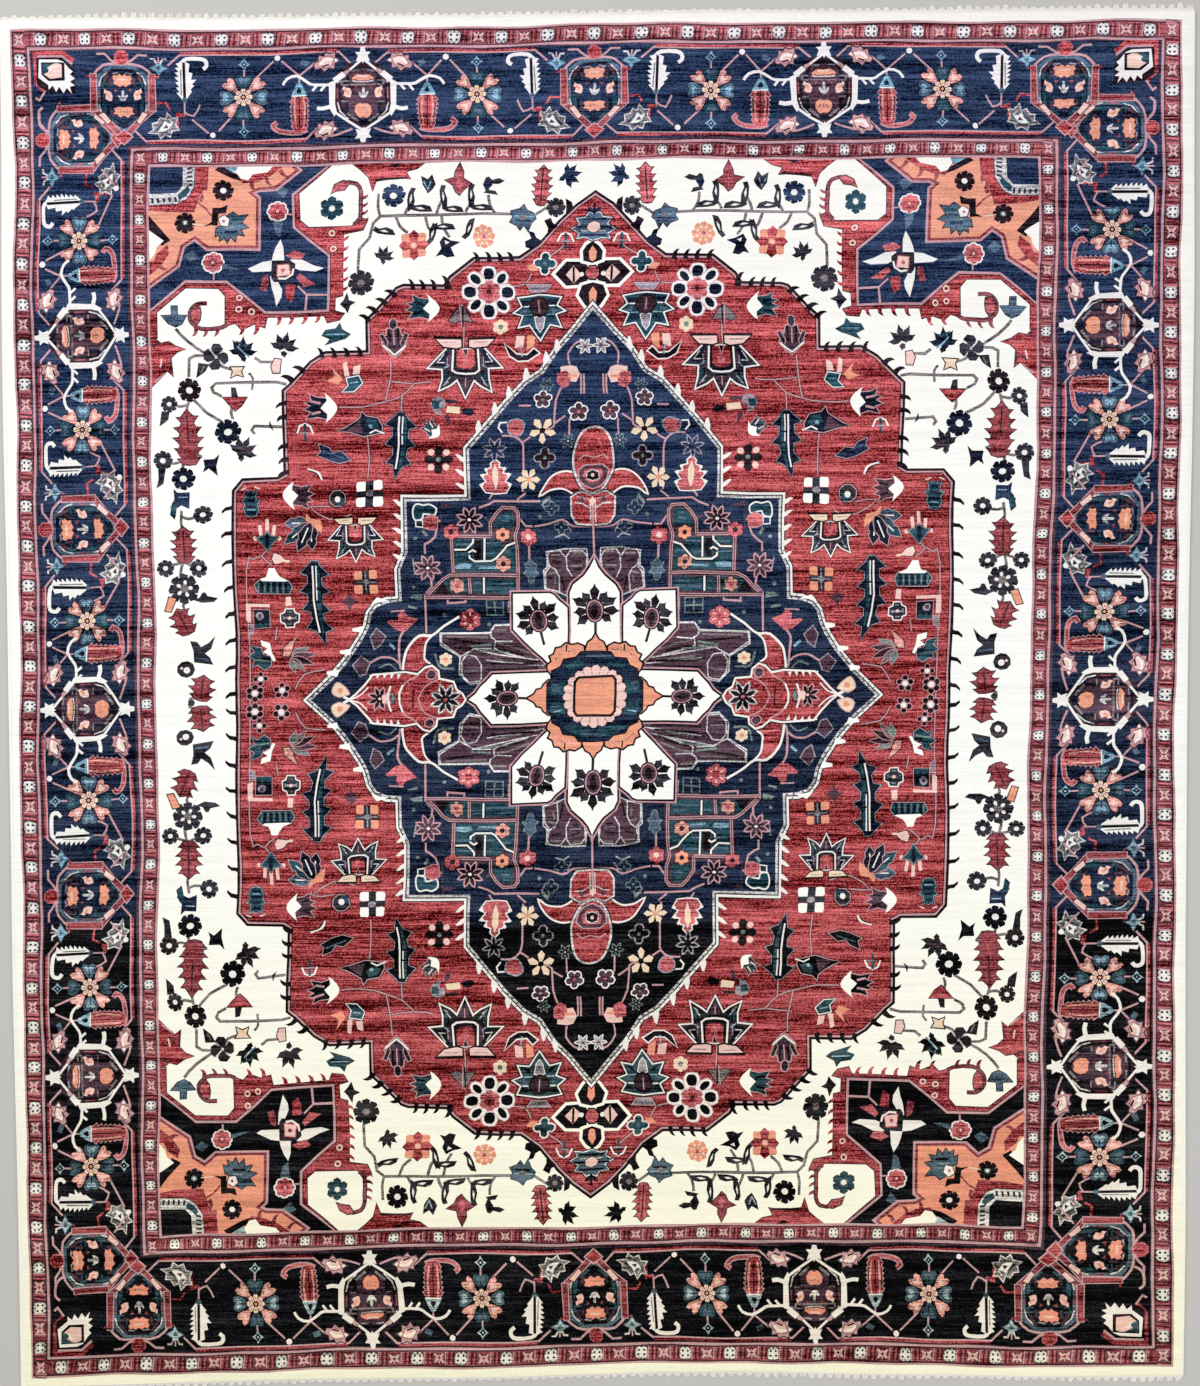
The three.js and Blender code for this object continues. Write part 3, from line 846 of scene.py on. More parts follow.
def upper_field_flowers(pen):
    """Small flowers of the red field's shoulder, one quarter."""
    side_flower(pen.at(162, 390), 1.15, "ivory", "teal", "night")
    side_flower(pen.at(264, 292), 1.15, "ivory", "night", "pink")
    side_flower(pen.at(158, 268, 40), 0.75, "ivory", "teal", "blush")
    small_rosette(pen.at(92, 372), "cream", "sage", 0.85)
    pen.area("teal", [(228, 316), (231, 323), (243, 321), (241, 314), (247, 308), (236, 308)],
             ("umber", 1.8), ("white", 1.0))
    pen.line("sky", [(232, 317), (240, 316)], 1.2)
    pen.area("blush", [(230, 325), (229, 335), (235, 333), (237, 325)])
    pen.area("blush", [(240, 323), (242, 338), (246, 336), (245, 323)])
    pen.area("peach", [(247, 321), (257, 333), (254, 323), (263, 319), (251, 315)])
    pen.area("night", [(209, 272), (213, 281), (225, 283), (229, 288), (231, 282), (238, 277), (247, 272),
                       (254, 270), (240, 267), (228, 263), (210, 266)], ("umber", 1.8), ("pink", 1.0))
    pen.area("teal", [(212, 272), (215, 279), (224, 281), (226, 274), (218, 270)])
    pen.area("plum", [(228, 266), (246, 269), (238, 274), (232, 280)])
    pen.line("white", [(207, 265), (216, 269), (222, 266)], 1.5)
    pen.dot("sky", 221, 273, 2.2, 1.0, 6)
    for u, v in ((285, 268), (27, 455)):
        mark = pen.at(u, v)
        mark.line("white", [(-8, 0), (-5, 7), (0, 9), (5, 7), (8, 0)], 1.8)
        mark.line("teal", [(0, -7), (0, 9)], 2.6)
        mark.line("grey", [(-5, 1), (5, 1)], 1.6)
    pen.area("navy", [(241, 240), (250, 248), (258, 247), (262, 253), (272, 257), (270, 249), (274, 246),
                      (262, 240), (252, 237)], ("umber", 1.6), ("pink", 0.8))
    pen.line("slate", [(248, 242), (268, 250)], 1.2)
    pen.line("white", smooth([(270, 221), (273, 228), (284, 232)]), 2.8)
    pen.line("dark", smooth([(271, 221), (275, 228), (284, 231)]), 1.3)
    pen.area("night", [(117, 287), (121, 292), (129, 291), (130, 286), (121, 284)])
    pen.area("cream", [(131, 293), (144, 294), (146, 288), (132, 286)])
    pen.area("charcoal", [(133, 297), (135, 300), (146, 300), (147, 297)])
    pen.area("grey", [(146, 299), (152, 303), (160, 300), (162, 294), (158, 287), (150, 284), (152, 292),
                      (147, 292)])
    pen.area("teal", [(152, 298), (161, 298), (159, 290), (153, 291)])
    pen.area("plum", [(141, 274), (142, 283), (146, 287), (147, 281), (144, 276)])
    pen.area("stone", [(119, 377), (126, 389), (129, 391), (132, 391), (143, 378), (137, 376), (131, 378)],
             ("umber", 1.0))
    pen.line("dark", [(128, 392), (129, 372)], 1.6)
    pen.line("pink", [(131, 394), (130.5, 372)], 1.0)
    outlined_rosette(pen.at(47, 434), 1.05, "teal", "slate", "white", 4)
    pen.area("peach", [(53, 427), (57, 433), (65, 432), (61, 426)])
    pen.area("grey", [(41, 413), (64, 413), (60, 407), (46, 407)], ("umber", 1.8), ("pink", 1.0))
    pen.area("peach", [(60, 352), (58, 362), (66, 363), (67, 348)])
    pen.area("blush", [(70, 352), (69, 362), (77, 362), (78, 350)])
    pen.area("dark", [(55, 345), (60, 349), (66, 343), (76, 344), (88, 355), (83, 343), (75, 338),
                      (65, 338)], ("white", 1.3))
    pen.line("sky", [(72, 352), (71, 342)], 1.4)


def side_field_flowers(pen):
    """Small flowers of the red field's side above the middle, one quarter."""
    side_flower(pen.at(299, 207, 180), 1.1, "ivory", "plum", "dark")
    knob_rosette(pen.at(153, 239))
    cross_flower(pen.at(227, 118), 0.88, "peach", "charcoal", "sage")
    for turn in (0, 90):
        pen.at(227, 118, turn).line("grey", [(0, -10), (0, 10)], 1.2)
    cross_flower(pen.at(222, 206))
    pen.dot("charcoal", 254, 203, 8.5, 0.95, 8, ("umber", 2.2), ("pink", 0.9))
    pen.area("teal", [(247, 203), (247, 196), (254, 195), (253, 203)])
    pen.dot("white", 254, 202, 3.2, 1.0, 7)
    striped_bud(pen.at(340, 199))
    cup_flower(pen.at(324, 163))
    pen.area("blush", [(306, 141), (311, 147), (318, 149), (320, 143), (317, 138), (311, 139)],
             ("umber", 0.9))
    pen.line("cream", [(302, 140), (309, 141)], 2.4)
    pen.area("teal", [(303, 109), (300, 116), (304, 122), (332, 122), (337, 117), (333, 109)],
             ("umber", 1.6), ("pink", 0.8))
    for u in range(306, 332, 6):
        pen.line("night", [(u, 110), (u, 121)], 2.4)
        pen.line("sage", [(u + 3, 110), (u + 3, 119)], 1.1)
    pen.area("ivory", [(304, 122), (312, 125), (316, 131), (317, 134), (323, 134), (324, 130), (326, 125),
                       (332, 123), (330, 121), (306, 121)])
    for turn in range(0, 360, 90):
        pen.at(243, 99, turn).both("plum", [(0, 0), (4, 3.4), (1.6, 5), (0, 10)])


def striped_bud(pen):
    """Upright teal bud with dark bands and side shoots."""
    half = [(0, 13), (3, 11), (6.5, 13), (5, 8), (5.4, 4), (9, 3), (6.2, -1), (7.4, -6), (5, -12),
            (0, -13.4)]
    pen.both("teal", half, ("umber", 1.6), ("grey", 0.8))
    for v, half_width in ((8.4, 3.4), (2.4, 4.2), (-3.4, 5.4), (-9, 4.6)):
        pen.line("night", [(-half_width, v), (half_width, v)], 2.4)
    pen.line("sky", [(-4, -6.4), (4, -6.4)], 1.2)
    pen.twins(("blush", [(4, 17), (9, 15)], 1.4))


def leaf_fan(pen):
    """Spray of five leaves from one point over a light hooked stalk."""
    pen.area("salmon", [(6, 0), (5, 6), (0, 11), (-6, 16), (-3, 9), (-2, 4), (1, 0)], ("umber", 0.9))
    for turn, length, dye in ((64, 17, "sage"), (88, 21, "plum"), (112, 21, "umber"), (138, 18, "stone"),
                              (166, 14, "sage")):
        leaf = pen.at(0, 0, turn)
        leaf.both(dye, [(0, 2), (2.6, 6), (3, length * 0.5), (1.4, length * 0.8), (0, length)],
                  ("umber", 1.0), ("pink", 0.7))


def squared_rosette(pen):
    """White edged blossom of four dark blocks about a light heart."""
    plus = [(-4, 10), (4, 10), (5, 6), (9.6, 4), (9.6, -4), (5, -6), (4, -10), (-4, -10), (-5, -6),
            (-9.6, -4), (-9.6, 4), (-5, 6)]
    pen.area("charcoal", plus, ("umber", 1.2), ("white", 1.4))
    for turn in range(0, 360, 90):
        pen.at(0, 0, turn).line("sage", [(-2.6, 7), (2.6, 7)], 1.5)
    pen.line("grey", [(-7, 0), (7, 0)], 2.6)
    pen.dot("blush", 0, 0, 2.2, 1.0, 6)


def dotted_rosette(pen, size=1.0, petals=5):
    """Light heart in a ring of dark petals with a pink edge."""
    own = pen.at(0, 0, 0, size)
    for dye, radius in (("pink", 4.4), ("dark", 3.4)):
        for number in range(petals):
            own.at(0, 0, 360 / petals * number).dot(dye, 0, 6.6, radius, 1.0, 6)
    own.dot("pink", 0, 0, 4.6, 1.0, 8)
    own.dot("white", 0, 0, 3.4, 1.0, 7)


def middle_field_flowers(pen):
    """Small flowers beside the medallion's points, one quarter."""
    squared_rosette(pen.at(303, 84, 0, 0.88))
    pen.area("blush", [(301, 97), (302, 106), (307, 106), (307, 96)])
    pen.area("blush", [(342, 80), (347, 82), (347, 99), (322, 99), (322, 96), (342, 96)])
    pen.area("night", [(323, 75), (339, 75), (339, 93), (323, 93)], ("umber", 1.2), ("pink", 0.8))
    pen.area("teal", [(324, 75), (338, 75), (338, 80), (336, 78), (333, 81), (330, 78), (327, 81),
                      (324, 79)])
    pen.dot("grey", 333, 87, 4.2, 1.0, 8)
    pen.dot("plum", 333, 87, 2.0, 1.0, 6)
    pen.area("grey", [(340, 78), (345, 78), (346, 66), (341, 70)], ("pink", 0.9))
    leaf_fan(pen.at(304, 46, 0, 1.2))
    pen.area("teal", [(324, 47), (331, 46), (334, 54), (345, 57), (340, 50), (346, 46), (340, 42),
                      (343, 35), (338, 38), (330, 33), (324, 37)], ("umber", 1.6), ("pink", 0.8))
    pen.area("night", [(326, 46), (334, 48), (332, 43), (325, 43)])
    pen.line("sage", [(326, 41), (343, 43)], 1.6)
    pen.area("ivory", [(324, 59), (334, 62), (333, 56), (327, 54), (332, 50), (325, 47), (322, 41),
                       (319, 42), (323, 50)])
    dotted_rosette(pen.at(335, 24), 0.72, 4)
    dotted_rosette(pen.at(314, 11), 0.86)
    dotted_rosette(pen.at(340, 9.4), 0.9, 6)


def small_palmette(pen):
    """Plum hearted palmette of pointed blue petals between the finial and the large dark flower, one side."""
    half = [(0, 17), (8, 16), (21, 14), (17, 6), (25, 0), (16, -3), (21, -15), (10, -13), (4, -22),
            (0, -28)]
    pen.both("teal", half, ("umber", 2.8), ("white", 1.4))
    pen.twins(
        ("night", [(9, 12), (20, 12.5), (15, 7)]),
        ("slate", [(12, 4), (22, 0), (14, -2)]),
        ("navy", [(9, -5), (19, -14), (10, -11)]),
        ("white", [(7, 6), (16, 6)], 1.2),
        ("sky", [(6, -3), (15, -3)], 1.2),
        ("dark", [(3, 15), (11, 9), (18, 8)], 1.6),
    )
    pen.both("grey", [(0, -4), (5, -6), (3, -16), (0, -20)], ("white", 0.8))
    pen.both("umber", [(0, 14), (6, 12), (9, 5), (6, -2), (0, -4)], ("dark", 1.6))
    pen.line("plum", [(0, 12), (0, -2)], 3.4)
    pen.line("pink", [(0, 12), (0, 0)], 0.9)


def finial(pen):
    """Cross-shaped cartouche and leafy tip of the red field's pointed end."""
    for side in (1, -1):
        small_palmette(pen.at(53 * side, 386))
        pen.area("dark", [(u * side, v) for u, v in ((5, 412), (26, 412), (37, 424), (26, 436), (12, 436),
                                                     (5, 434))], ("ivory", 3.0))
        pen.area("blush", [(u * side, v) for u, v in ((11, 422), (19, 432), (27, 423), (19, 414))])
        pen.line("dark", [(19 * side, 415), (19 * side, 431)], 2.2)
        pen.dot("white", 11 * side, 423, 2.6, 1.0, 6)
    pen.both("dark", [(0, 456), (6, 452), (10, 446), (9, 437), (0, 434)], ("ivory", 3.0))
    pen.both("dark", [(0, 414), (11, 411), (14, 401), (8, 392), (0, 384)], ("ivory", 3.0))
    pen.dot("rose", 0, 424, 7, 1.0, 8, ("dark", 1.6))
    pen.both("peach", [(0, 452), (4, 446), (3, 438), (0, 436)])
    pen.both("peach", [(0, 410), (4, 404), (3, 394), (0, 391)])
    tip_palmette(pen)


def tip_palmette(pen):
    """Small blue palmette with a light heart in the very tip of the red field."""
    half = [(0, 457), (8, 460), (15, 459), (13, 464), (20, 468), (12, 472), (16, 478), (8, 479), (5, 484),
            (0, 482)]
    pen.both("slate", half, ("umber", 2.0), ("silver", 1.0))
    for v, reach in ((462, 12), (470, 17), (477, 12)):
        pen.line("navy", [(-reach, v), (reach, v)], 2.2)
    pen.line("silver", [(-11, 466), (11, 466)], 1.0)
    pen.both("blush", [(0, 475), (5, 473), (6, 468), (3, 465), (0, 464)], ("umber", 0.8))
    pen.twins(("navy", [(0, 483), (5, 485), (7, 490), (2, 489)]))
    pen.line("night", [(0, 482), (0, 494)], 2.4)


IVORY_STEMS = [[(46, 490), (58, 483), (82, 483), (210, 483), (218, 476), (221, 462), (231, 451),
                (231, 430)], [(125, 485), (118, 497)], [(155, 484), (148, 500)], [(186, 483), (178, 496)],
               [(165, 482), (156, 464)], [(195, 483), (182, 466)], [(150, 483), (141, 460)],
               [(210, 482), (212, 506)], [(96, 483), (103, 503)],
               [(302, 318), (312, 320), (374, 320), (378, 316), (376, 311), (368, 307)],
               [(357, 300), (357, 285)], [(308, 275), (336, 277), (339, 273), (336, 269)],
               [(368, 282), (396, 304)], [(400, 327), (400, 345), (394, 348), (380, 348)],
               [(385, 351), (413, 375)], [(357, 334), (372, 343)], [(316, 340), (327, 340), (333, 345)],
               [(402, 299), (414, 299)], [(356, 263), (360, 268)], [(398, 256), (388, 247)],
               [(408, 242), (420, 242)], [(404, 246), (406, 232)], [(408, 192), (408, 172)],
               [(392, 186), (408, 186)], [(396, 134), (408, 140), (420, 137)], [(409, 142), (411, 122)],
               [(408, 105), (408, 92)], [(408, 242), (404, 262)], [(401, 302), (401, 290)],
               [(408, 92), (408, 105)], [(404, 5), (402, -5)]]


def open_leaf(pen, size=1.0):
    """Small dark leaf with a hooked tip, open in the middle."""
    own = pen.at(0, 0, 0, size)
    own.area("charcoal", [(-12, -4), (-9, 1.6), (-2, 3.8), (6, 2.8), (11, 5.6), (13, 1), (8, -2.2),
                          (0, -3.8)])
    own.area("white", [(-4, -1.2), (0, 1.2), (6, 0.7), (1, -1.2)])


def ring_flower(pen, size=1.0, petals="dark", heart="white"):
    """Square dark blossom of eight teeth around a light middle."""
    own = pen.at(0, 0, 0, size * 1.1)
    for i in range(8):
        leaf = own.at(0, 0, 45 * i)
        leaf.area(petals, [(-2.3, 3), (2.3, 3), (3.2, 9.4), (1, 10.4), (-3, 9)])
    own.dot(petals, 0, 0, 6)
    own.dot(heart, 0, 0, 3.2, 0.9, 7)


def ragged_leaf(pen, size=1.0, dye="charcoal"):
    """Spray of six pointed leaves from one stalk."""
    own = pen.at(0, 0, 0, size)
    for turn, length in ((-80, 15), (-42, 18), (-6, 19), (32, 17), (70, 16), (150, 9)):
        own.at(0, -4, turn).both(dye, [(0, 0), (2.2, length * 0.3), (3.3, length * 0.6),
                                       (1.2, length * 0.8), (0, length)])
    own.dot(dye, 0, -4, 4.2, 1.0, 7)


def pointed(pen, dye, edge, tips, rim="umber"):
    """A ragged leaf with dark strokes at some of its points."""
    pen.area(dye, edge, (rim, 0.9))
    for tip in tips:
        pen.line(rim, tip, 2.2)


def ivory_flowers(pen):
    """Stems, buds and leaves on the ivory ground, one quarter."""
    for points in IVORY_STEMS:
        if len(points) == 2:
            (u, v), (end_u, end_v) = points
            points = smooth([(u, v), ((u + end_u) / 2 + 1.8, (v + end_v) / 2 - 1.6), (end_u, end_v)], 2)
        pen.line("stone", points, 2.9)
    top_ivory_flowers(pen)
    corner_ivory_flowers(pen)
    side_ivory_flowers(pen)


def top_ivory_flowers(pen):
    """Flowers of the ivory ground beside the red field's pointed end, one quarter."""
    ring_flower(pen.at(37, 490), 0.85, "charcoal", "stone")
    ragged_leaf(pen.at(25, 521, 84), 0.85, "navy")
    pen.area("slate", [(57, 479), (60, 485), (66, 487), (69, 492), (73, 488), (81, 486), (79, 480),
                       (82, 475), (75, 472), (72, 468), (68, 473), (64, 466), (61, 475)], ("charcoal", 0.7))
    pen.line("sky", [(59, 481), (78, 481)], 1.4)
    pen.line("navy", [(62, 477), (76, 477)], 2.0)
    pen.dot("stone", 70, 480, 3)
    toothed_leaf(pen.at(51, 512, 4), 40, 10, 5, "rose")
    for u, v, turn in ((110, 490, 0), (120, 502, 82), (138, 489, 0), (148, 500, 74), (170, 490, 0),
                       (180, 498, 84), (147, 471, -3), (158, 465, -84), (206, 468, 0), (122, 469, -76)):
        open_leaf(pen.at(u, v, turn, 0.95))
    pen.area("charcoal", [(88, 517), (94, 520), (101, 518), (104, 521), (107, 520), (109, 513), (106, 507),
                          (108, 505), (94, 502), (97, 507), (103, 508), (101, 514), (94, 514)])
    pen.area("navy", [(100, 513), (105, 519), (107, 512), (104, 508)])
    ring_flower(pen.at(197, 503), 1.05, "navy", "white")
    ring_flower(pen.at(107, 461), 1.02, "peach", "blush")
    for turn in range(20, 380, 45):
        pen.at(107, 461, turn).dot("cream", 0, 6.6, 1.7, 1.0, 5)
    pen.at(107, 461).dot("rose", 0, 0, 2.6, 1.0, 6)
    cross_flower(pen.at(176, 453), 0.95, "peach", "madder", "peach")
    for turn in range(0, 360, 90):
        pen.at(176, 453, turn).area("madder", [(-3, 4), (-4.4, 11), (0, 15), (4.4, 11), (3, 4)],
                                    ("rust", 0.6))
    pen.dot("blush", 176, 453, 2, 1.0, 6)
    pen.area("night", [(130, 455), (140, 457), (147, 461), (151, 455), (149, 449), (154, 441), (148, 443),
                       (143, 440), (136, 441), (140, 450)])
    pen.area("white", [(141, 455), (146, 457), (145, 453)])
    pen.area("rust", [(120, 514), (128, 519), (128, 525), (132, 534), (136, 525), (137, 519), (147, 517),
                      (139, 512), (136, 506), (132, 503), (128, 508)], ("umber", 0.9))
    pen.area("rose", [(128, 513), (132, 520), (136, 513), (132, 508)])
    pen.area("charcoal", [(156, 513), (160, 523), (164, 518), (171, 522), (169, 512), (164, 504),
                          (159, 508)])
    pen.line("sky", [(161, 516), (164, 508), (168, 516)], 1.5)
    ragged_leaf(pen.at(206, 444, 24), 0.75)
    ring_flower(pen.at(228, 417), 1.2, "charcoal", "stone")
    pen.area("charcoal", [(233, 397), (240, 400), (242, 408), (246, 400), (250, 396), (245, 391),
                          (242, 386), (239, 394)])
    pointed(pen, "madder", [(166, 536), (175, 530), (186, 527), (182, 520), (192, 521), (214, 519),
                            (218, 509), (221, 522), (229, 530), (238, 536)], [[(184, 521), (214, 520)]])
    pen.area("night", [(189, 535), (196, 531), (203, 534)])
    pen.line("rose", [(192, 528), (214, 525)], 2.0)


def corner_ivory_flowers(pen):
    """Flowers of the ivory ground under the corner piece, one quarter."""
    pen.area("teal", [(239, 366), (247, 370), (249, 376), (253, 371), (263, 370), (266, 365), (258, 361),
                      (263, 355), (250, 360), (244, 362)], ("charcoal", 0.6))
    pen.line("sky", [(244, 366), (262, 366)], 1.2)
    ragged_leaf(pen.at(304, 356, 20), 1.0)
    pen.line("white", [(298, 346), (304, 352), (310, 350)], 2.0)
    ragged_leaf(pen.at(345, 353, 10), 0.98, "night")
    pen.line("sky", [(338, 346), (344, 351), (350, 357)], 1.7)
    pen.line("teal", [(340, 358), (352, 362)], 2.0)
    pen.area("blush", [(308, 342), (314, 343), (317, 336), (315, 329), (309, 329)], ("plum", 1.1))
    pen.area("cream", [(345, 336), (358, 336), (356, 332), (358, 326), (352, 329), (346, 326), (348, 332)],
             ("charcoal", 1.3))
    for turn in range(0, 360, 90):
        pen.at(373, 347, turn + 6).area("charcoal", [(-3, 1), (-7, 9), (-3, 13), (4, 12), (6, 8), (3, 1)])
        pen.at(373, 347, turn + 48).line("silver", [(0, 0), (0, 11)], 1.5)
    pen.area("charcoal", [(380, 340), (391, 341), (393, 326), (388, 330), (384, 333)])
    pen.line("stone", [(385, 338), (389, 331)], 1.6)
    pen.line("stone", smooth([(337, 313), (336, 324), (340, 329)], 2), 2.4)
    pen.area("madder", [(343, 306), (367, 306), (361, 299), (355, 293), (349, 298)], ("charcoal", 0.9))
    pen.area("charcoal", [(352, 305), (359, 306), (359, 316), (354, 315)])
    pen.line("rose", [(351, 302), (360, 302)], 2.0)
    ring_flower(pen.at(362, 272), 1.15, "night", "white")
    ragged_leaf(pen.at(347, 253, 30), 1.0, "charcoal")
    pen.line("plum", [(340, 250), (352, 256)], 2.6)
    pen.area("charcoal", [(317, 271), (321, 282), (322, 275)])
    pointed(pen, "madder", [(403, 354), (413, 357), (420, 362), (428, 360), (438, 369), (438, 317),
                            (430, 325), (422, 333), (416, 328), (418, 345), (412, 351)],
            [[(417, 332), (418, 344)], [(429, 360), (437, 358)], [(424, 340), (428, 334)]], "plum")
    pen.line("rose", [(410, 355), (424, 353)], 2.4)
    pen.line("pink", [(424, 330), (435, 322)], 2.0)
    pen.line("blush", [(427, 345), (429, 336)], 1.6)


def side_ivory_flowers(pen):
    """Flowers of the ivory ground beside the red field, one quarter."""
    ring_flower(pen.at(400, 314), 1.08, "dark", "white")
    ring_flower(pen.at(421, 300), 0.78, "charcoal", "white")
    pen.area("charcoal", [(421, 292), (429, 293), (430, 277), (426, 280), (422, 284)])
    toothed_leaf(pen.at(402, 266, -3), 56, 15, 5)
    pen.area("rust", [(391, 250), (397, 243), (407, 243), (413, 251), (410, 262), (394, 262)])
    pen.line("madder", [(398, 246), (404, 260)], 2.6)
    pen.area("night", [(371, 249), (376, 244), (387, 244), (386, 236), (388, 230), (382, 234), (373, 227),
                       (374, 236)])
    ring_flower(pen.at(426, 243), 0.85, "charcoal", "white")
    pen.area("charcoal", [(423, 236), (431, 236), (431, 224), (433, 215), (426, 219)])
    ring_flower(pen.at(406, 224), 1.05, "night", "white")
    pen.area("navy", [(400, 194), (400, 210), (412, 210), (416, 214), (415, 203), (418, 199), (421, 188),
                      (416, 183), (413, 194), (408, 197)])
    pen.line("sky", [(402, 205), (411, 205)], 1.4)
    pen.area("teal", [(412, 200), (420, 196), (419, 188), (415, 186)])
    ring_flower(pen.at(387, 188), 0.85, "charcoal", "white")
    toothed_leaf(pen.at(408, 158), 37, 14, 4)
    for u in (394, 427):
        ring_flower(pen.at(u, 134), 0.8, "charcoal", "white")
    ring_flower(pen.at(409, 114), 1.35, "charcoal", "stone")
    for turn in range(10, 370, 72):
        pen.at(409, 114, turn).dot("white", 0, 6.2, 1.9, 1.3, 6)
    pen.area("charcoal", [(375, 104), (386, 106), (388, 110), (391, 110), (394, 105), (401, 103), (392, 99),
                          (380, 100)])
    pen.area("peach", [(417, 104), (424, 106), (429, 92), (423, 91)], ("charcoal", 1.0))
    toothed_leaf(pen.at(411, 81, -24), 28, 14, 3)
    pen.area("charcoal", [(379, 67), (386, 60), (393, 56), (397, 61), (404, 62), (401, 52), (401, 41),
                          (381, 38), (384, 46), (389, 50), (383, 55)])
    pen.line("slate", [(385, 44), (399, 45)], 2.2)
    pen.dot("charcoal", 409, 34, 9, 0.95, 9)
    pen.dot("white", 408, 33, 3.4, 1.0, 7)
    pen.dot("blush", 413, 35, 1.6, 1.0, 5)
    toothed_leaf(pen.at(393, 15, 8), 25, 14, 3)
    pen.dot("charcoal", 403, 0, 3.2, 1.0, 7)


def claw(pen, dye, size=1.0):
    """A curved hook standing on an edge, its tip bent to the right."""
    own = pen.at(0, 0, 0, size)
    own.area(dye, [(-3.4, -1.5), (-3, 3), (-1.6, 7), (1.4, 10), (5.4, 10.8), (3.6, 8.4), (2.2, 5),
                   (2.6, -1.5)])


def lily(pen):
    """Cross of four white leaves around a square heart, with red leaves between."""
    for dye, points in (("rose", [(285, 448), (296, 452), (304, 447), (296, 443), (288, 443)]),
                        ("rose", [(274, 417), (290, 428), (293, 424), (286, 415)]),
                        ("madder", [(293, 417), (302, 418), (303, 405), (297, 400), (294, 408)]),
                        ("rust", [(320, 428), (326, 425), (329, 413), (322, 411), (320, 418)])):
        pen.area(dye, points)
    for points in ([(305, 442), (306, 455), (309, 463), (313, 456), (316, 448), (317, 442)],
                   [(299, 443), (288, 442), (276, 436), (266, 433), (274, 430), (290, 431), (296, 434)],
                   [(317, 442), (326, 441), (341, 434), (336, 431), (317, 431)],
                   [(318, 426), (317, 415), (314, 405), (312, 396), (307, 405), (306, 412), (310, 420),
                    (305, 426)]):
        pen.area("white", points)
    pen.area("charcoal", [(298, 421), (314, 420), (317, 424), (317, 440), (313, 442), (299, 442),
                          (294, 438), (295, 425)])
    pen.area("blush", [(299, 427), (311, 426), (311, 437), (301, 438)], ("rose", 1.0))
    pen.line("white", [(296, 433), (297, 427), (303, 423), (310, 424)], 2.0)
    pen.dot("rose", 306, 432, 2.2, 1.0, 6)
    pen.line("pink", [(262, 407), (282, 407), (283, 391)], 2.2)
    pen.line("pink", [(282, 407), (291, 416)], 1.8)


def navy_rosette(pen, heart):
    """Round red flower with a pale edge on the dark ground."""
    for dye, radius in (("white", 5.0), ("rose", 3.5)):
        for turn in range(0, 360, 45):
            pen.at(0, 0, turn).dot(dye, 0, 6.3, radius, 1.0, 7)
    pen.dot("rose", 0, 0, 6)
    for turn in range(0, 360, 60):
        pen.at(0, 0, turn).area(heart, [(-1.2, 1.5), (-1.8, 4.6), (1.8, 4.6), (1.2, 1.5)])
    pen.dot("blush", 0, 0, 1.4, 1.0, 5)


def spandrel(pen):
    """Corner piece of the field: navy ground, peach cross panel, ivory panels and red edges."""
    pen.area("madder", [(256, 537), (290, 508), (290, 481), (281, 474), (238, 474), (232, 483), (224, 479),
                        (228, 470), (247, 467), (247, 405), (255, 403), (255, 389), (246, 386), (250, 380),
                        (261, 378), (264, 385), (322, 386), (324, 376), (334, 379), (346, 374), (352, 380),
                        (362, 377), (362, 407), (369, 415), (402, 415), (432, 391), (432, 366), (438, 366),
                        (438, 537)], ("plum", 1.1))
    for v in (411, 421, 431, 441, 451, 461):
        claw(pen.at(249, v, 90), "madder", 0.75)
    for v in (479, 487, 495, 503):
        claw(pen.at(230, v, 90), "rust", 0.7)
    for u, v in ((270, 386), (283, 386), (296, 386), (309, 386), (331, 377), (345, 377)):
        claw(pen.at(u, v, 180, 1.0, -1), "madder", 0.8)
    for u in (370, 382, 393):
        claw(pen.at(u, 375, 180, 1.0, -1), "rust", 0.8)
    pen.line("rust", [(256, 388), (322, 388)], 2.0)
    pen.area("navy", [(260, 537), (297, 507), (297, 474), (262, 445), (262, 391), (323, 391), (361, 422),
                      (402, 422), (438, 393), (438, 537)], ("umber", 3.4), ("pink", 2.5))
    ivory_panels(pen)
    for u, v in ((258, 468), (256, 452), (349, 405), (349, 393), (337, 391)):
        pen.dot("blush", u, v, 3.6, 1.0, 7, ("umber", 0.7))
        pen.dot("madder", u, v, 1.9, 1.0, 6)
    lily(pen)
    navy_rosette(pen.at(312, 490), "madder")
    navy_rosette(pen.at(375, 439), "rust")
    pen.line("pink", [(297, 487), (303, 487)], 1.6)
    pen.line("pink", [(374, 423), (374, 430)], 1.6)
    for points in ([(307, 480), (317, 480), (314, 468), (309, 464)],
                   [(300, 512), (308, 516), (314, 512), (306, 504)],
                   [(348, 432), (356, 432), (366, 434), (366, 439)],
                   [(388, 445), (395, 452), (403, 446), (396, 440)]):
        pen.area("slate", points)
    peach_panel(pen)
    corner_square(pen)


